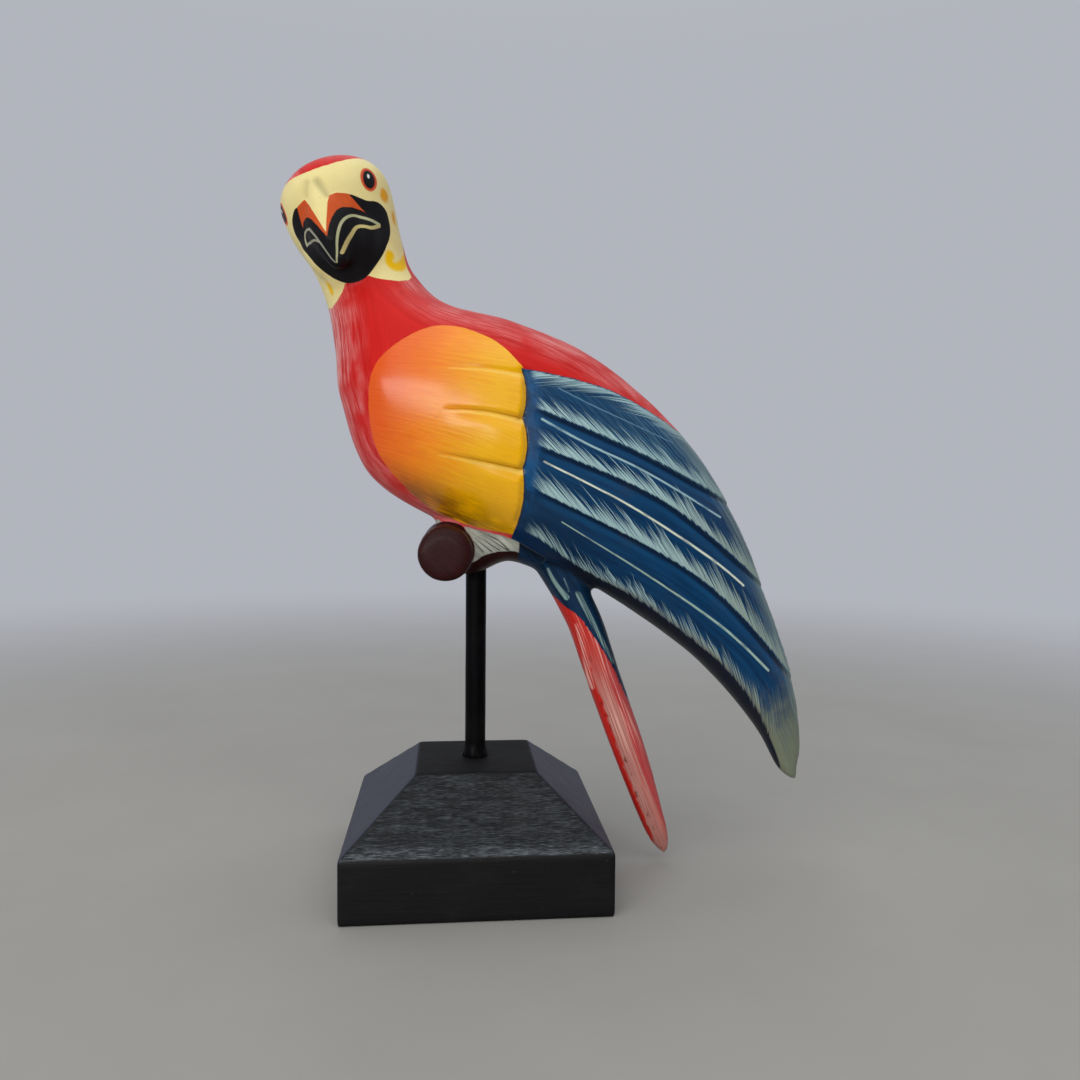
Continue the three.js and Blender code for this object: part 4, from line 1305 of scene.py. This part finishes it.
def paint_face(n, under, z, place):
    """Cream mask, ochre spots, black beak with orange cere and pale mouth lines, and drawn eyes."""
    cloud = n.noise(place, scale=120.0, detail=4.0, roughness=0.6)
    cream = n.mix(cloud, CREAM_DEEP, CREAM_PALE)
    # Soft grey-green smudges beside the culmen's top: painted shadow of the ridge, with some dirt.
    for number, strength in ((1, 0.3), (2, 0.55)):
        shade_smudge = n.times(stroke(n, f"cere_{number}", length=6.0, start=1.1, end=0.6, soft=1.5), strength)
        cream = n.mix(shade_smudge, cream, CERE_SHADE_AND_DIRT)
    ochre = n.ramp(n.plus(n.field("ochre"), n.times(n.math("SUBTRACT", cloud, 0.5), 3.0)), -0.8, 0.9)
    cream = n.mix(ochre, cream, n.mix(n.ramp(z, 250.0, 240.0), OCHRE_DEEP, OCHRE_BRIGHT))
    colour = n.mix(edge(n, n.field("cream"), wobble=0.5, soft=0.22), under, cream)
    black = n.mix(cloud, INK_DEEP, INK_PALE)
    for number, (length, start, end, tint) in enumerate(MOUTH_PAINT, 1):
        line = stroke(n, f"mouth_{number}", length=length, start=start, end=end, soft=0.12)
        black = n.mix(line, black, srgb(*tint))
    colour = n.mix(edge(n, n.field("black"), wobble=0.3, soft=0.14), colour, black)
    orange = n.mix(cloud, CERE_DEEP, CERE_BRIGHT)
    colour = n.mix(edge(n, n.field("orange"), wobble=0.2, soft=0.1), colour, orange)
    colour = n.mix(edge(n, n.field("culmen"), wobble=0.16, soft=0.12), colour, cream)
    eye = n.field("eye")
    colour = n.mix(n.ramp(eye, 1.3, 0.85), colour, EYE_RIM)
    colour = n.mix(n.ramp(eye, 0.75, 0.3), colour, EYE_RING)
    colour = n.mix(n.ramp(eye, 0.16, -0.14), colour, PUPIL)
    return n.mix(n.ramp(n.field("glint"), 0.15, -0.3), colour, GLINT)


# %% [markdown]
# ## Varnish and age
# The bird has a satin finish, and only its shoulder shines. One roughness for all would hide that, so the
# coat and the roughness follow the shoulder's mask. The brush lines also make a faint relief, which
# breaks up the highlight. Specks and grime come last, over every colour, and the grime is stronger in
# the carved cuts as painted shade.

# %% Hand-painted wood
SPECK_BROWN = srgb(60, 44, 34)
GRIME_AND_CUT_SHADE = srgb(70, 56, 44)


def parrot_paint():
    """All the bird's colours, with a satin finish that is glossier on the varnished shoulder."""
    material, n, shader = new_paint("hand_painted_wood")
    place = n.add("ShaderNodeTexCoord").outputs["Object"]
    x, z = n.field("x"), n.field("z")
    colour, streaks = paint_red(n, place)
    colour, shoulder_lines = paint_shoulder(n, colour, x, z, place)
    colour = paint_wing(n, colour, x, z, place)
    colour, bark = paint_feet(n, colour, x, z)
    colour = paint_tail(n, colour)
    colour = n.mix(edge(n, n.field("branch"), wobble=0.4, soft=0.22), colour, bark)
    colour = paint_face(n, colour, z, place)
    age = n.use(AGE, {"Amount": 1.0, "Seed": 3.0})
    colour = n.mix(n.times(age["Specks"], 0.5), colour, SPECK_BROWN)
    # Brown grime in patches all over, stronger in the carved cuts as painted shade.
    grime = n.times(age["Grime"], n.ramp(n.field("carved"), 0.2, 1.2, 0.05, 0.25))
    colour = n.mix(grime, colour, GRIME_AND_CUT_SHADE)
    dull = n.times(n.ramp(n.field("black"), -0.2, 0.2), 0.16)
    shiny = n.ramp(n.field("shoulder"), -0.2, 0.2)
    streaks = n.between(shiny, streaks, shoulder_lines)
    rough = n.plus(n.between(shiny, 0.33, 0.16), n.times(age["Sheen"], 0.16), n.times(streaks, 0.06), dull)
    relief = n.plus(n.times(streaks, 0.6), n.times(age["Sheen"], 0.4))
    bump = n.add("ShaderNodeBump", {"Height": relief, "Strength": 0.22, "Distance": 0.0004})
    coat = n.between(shiny, 0.04, 0.62)
    n.feed(shader, {"Base Color": colour, "Roughness": rough, "Normal": bump.outputs["Normal"]})
    n.feed(shader, {"Coat Weight": coat, "Coat Roughness": 0.2, "Specular IOR Level": 0.14})
    return material


wood.materials.append(parrot_paint())
print("bird's paint:", len(wood.materials[0].node_tree.nodes), "nodes")


# %% [markdown]
# ## Black paint of the stand
# Both pieces are plain black, thinly brushed, so the wood's grain shows in the sheen. On the sawn
# slopes the brush only caught the ridges, and dust has turned them grey, lighter towards the slopes'
# lower edge as painted glints. The left and right slopes are lightened to grey as painted sheen.

# %% Block and dowel paint
BLACK_DEEP = srgb(4, 4, 6)
BLACK_BRIGHT = srgb(8, 8, 11)
GRAIN_DUST_AND_GLINTS = srgb(118, 126, 132)
SIDE_SLOPE_SHEEN = srgb(54, 57, 71)
STAND_GRIME = srgb(70, 66, 64)
STAND_SPECK = srgb(120, 116, 110)


def black_paint(name, across, along, low_rough, gloss, rub):
    """Brushed black with grain along one axis of the piece; rub greys the sawn grain, with painted glints and
    sheen.
    """
    material, n, shader = new_paint(name)
    place = n.add("ShaderNodeTexCoord").outputs["Object"]
    in_mm = n.add("ShaderNodeVectorMath", {0: place, 3: 1 / MM}, operation="SCALE").outputs[0]
    axes = n.add("ShaderNodeSeparateXYZ", {0: in_mm}).outputs
    width = n.math("SUBTRACT", axes[across[1]], n.math("ABSOLUTE", axes[across[0]]))
    grain = brush(n, width, axes[along], width=1.0, length=26.0, seed=71.0)
    fine = brush(n, width, axes[along], width=0.24, length=8.0, seed=72.0)
    age = n.use(AGE, {"Amount": 1.0, "Seed": 8.0})
    colour = n.mix(grain, BLACK_DEEP, BLACK_BRIGHT)
    rough = n.plus(low_rough, n.times(age["Sheen"], 0.18), n.times(grain, 0.06))
    relief = n.plus(n.times(grain, 0.3), n.times(fine, 0.2))
    if rub:
        fibre = brush(n, width, axes[along], width=0.13, length=3.0, seed=73.0)
        lines = n.plus(n.times(n.field("saw_ridge"), 0.16), n.times(fine, 0.4), n.times(fibre, 0.6))
        ridges = n.plus(0.06, n.ramp(lines, 0.4, 0.95))
        # Grey dust on the saw's ridges, lighter towards the slopes' lower edge as painted glints.
        hem = n.ramp(axes[2], SKIRT_HIGH + 4.5, SKIRT_HIGH + 0.5, 0.6, 1.4)
        dust_and_glints = n.times(n.field("sawn"), ridges, hem, rub)
        colour = n.mix(dust_and_glints, colour, GRAIN_DUST_AND_GLINTS)
        # The left and right slopes lightened to a bluish grey: painted sheen of the satin black.
        colour = n.mix(n.times(n.field("sanded"), 0.9), colour, SIDE_SLOPE_SHEEN)
        top = n.ramp(axes[2], BLOCK_HIGH - 0.8, BLOCK_HIGH - 0.3)
        rough = n.plus(rough, n.times(n.field("sawn"), 0.2), n.times(top, 0.22))
        relief = n.plus(relief, n.times(n.field("sawn"), n.plus(fibre, fine), 0.8))
    colour = n.mix(n.times(age["Grime"], 0.06), colour, STAND_GRIME)
    colour = n.mix(n.times(age["Specks"], 0.15), colour, STAND_SPECK)
    bump = n.add("ShaderNodeBump", {"Height": relief, "Strength": 0.3, "Distance": 0.0003})
    n.feed(shader, {"Base Color": colour, "Roughness": rough, "Normal": bump.outputs["Normal"]})
    n.feed(shader, {"Specular IOR Level": gloss})
    return material


X, Y, Z = 0, 1, 2
block_mesh.materials.append(black_paint("block_black", (Y, Z), X, low_rough=0.4, gloss=0.2, rub=0.7))
rod_mesh.materials.append(black_paint("dowel_black", (X, Y), Z, low_rough=0.26, gloss=0.05, rub=0.0))
print("stand's paints:", block_mesh.materials[0].name, rod_mesh.materials[0].name)


# %% [markdown]
# ## Camera, floor and light
# The camera stands where a viewer held it, a little above the bird's middle and about 35 cm away, so
# the near end of the branch looks large. The light is soft daylight from above and the front left.
# The floor thins out into the background, so that no horizon line cuts across the picture.

# %% Camera
CAMERA_AT = Vector((-9.8, -352.0, 147.5)) * MM
LOOK_RIGHT, LOOK_DOWN, ROLL = math.radians(5.65), math.radians(2.85), math.radians(0.5)
camera_data = bpy.data.cameras.new("camera")
camera_data.sensor_width, camera_data.lens = 36.0, 30.0
camera = in_scene("camera", camera_data)
camera.location = CAMERA_AT
level = math.cos(LOOK_DOWN)
aim = Vector((math.sin(LOOK_RIGHT) * level, math.cos(LOOK_RIGHT) * level, -math.sin(LOOK_DOWN)))
camera.rotation_mode = "QUATERNION"
camera.rotation_quaternion = aim.to_track_quat("-Z", "Y") @ Matrix.Rotation(ROLL, 4, "Z").to_quaternion()
bpy.context.scene.camera = camera
print("camera:", round(CAMERA_AT.length / MM), "mm from the origin, lens", camera_data.lens, "mm")

# %% Floor
FLOOR_HALF = 3.0
FLOOR_FADE = (0.25, 1.1)
FLOOR_DEEP = srgb(146, 144, 139)
FLOOR_PALE = srgb(160, 158, 153)


def floor_paint():
    """Pale and matt, clear far from the middle."""
    material, n, shader = new_paint("pale_floor")
    place = n.add("ShaderNodeTexCoord").outputs["Object"]
    cloud = n.noise(place, scale=9.0, detail=5.0, roughness=0.6)
    colour = n.mix(cloud, FLOOR_DEEP, FLOOR_PALE)
    away = n.add("ShaderNodeVectorMath", {0: place}, operation="LENGTH").outputs["Value"]
    shown = n.ramp(away, *FLOOR_FADE, 1.0, 0.0)
    n.feed(shader, {"Base Color": colour, "Roughness": 0.75, "Alpha": shown})
    return material


floor_mesh = bpy.data.meshes.new("floor")
corners = [(-1, -1), (1, -1), (1, 1), (-1, 1)]
floor_mesh.from_pydata([(a * FLOOR_HALF, b * FLOOR_HALF, 0) for a, b in corners], [], [(0, 1, 2, 3)])
floor_mesh.materials.append(floor_paint())
floor = in_scene("floor", floor_mesh)
print("floor:", 2 * FLOOR_HALF, "m wide, fading from", FLOOR_FADE[0], "to", FLOOR_FADE[1], "m")

# %% Light
WALL_TONE, ZENITH_TONE, FRONT_TONE = srgb(178, 181, 189), srgb(214, 216, 220), srgb(52, 52, 56)
MIDDLE = Vector((0.03, 0.0, 0.16))
# place, width and height in metres, power in watts, and colour
LIGHTS = {
    "window": ((-0.46, -1.04, 0.28), 1.4, 0.24, 7.0, (1.0, 0.985, 0.96)),
    "front": ((-0.1, -0.9, 1.05), 2.2, 1.6, 10.0, (1.0, 0.99, 0.97)),
    "sky": ((0.1, 0.4, 1.5), 1.2, 1.2, 3.5, (0.94, 0.97, 1.0)),
}


def soft_light(name, at, wide, high, power, colour):
    """A rectangle of light that faces the middle of the bird."""
    data = bpy.data.lights.new(name, "AREA")
    data.shape = "RECTANGLE"
    data.size, data.size_y, data.energy, data.color = wide, high, power, colour
    light = in_scene(name, data)
    light.location = at
    light.visible_camera = False
    light.rotation_mode = "QUATERNION"
    light.rotation_quaternion = (MIDDLE - Vector(at)).to_track_quat("-Z", "Y")


def studio_world():
    """Even pale walls, brighter overhead and darker on the side that the camera's back is turned to."""
    world = bpy.data.worlds.new("studio")
    world.use_nodes = True
    n = Nodes(world.node_tree)
    facing = n.add("ShaderNodeTexCoord").outputs["Generated"]
    _, ahead, height = n.add("ShaderNodeSeparateXYZ", {0: facing}).outputs
    tone = n.mix(n.ramp(ahead, 0.1, -0.8), WALL_TONE, FRONT_TONE)
    tone = n.mix(n.ramp(height, 0.4, 0.9), tone, ZENITH_TONE)
    world.node_tree.links.new(tone, world.node_tree.nodes["Background"].inputs["Color"])
    return world


for name, light in LIGHTS.items():
    soft_light(name, *light)
bpy.context.scene.world = studio_world()
bpy.context.scene.view_settings.view_transform = "Standard"
print("lights:", list(LIGHTS))
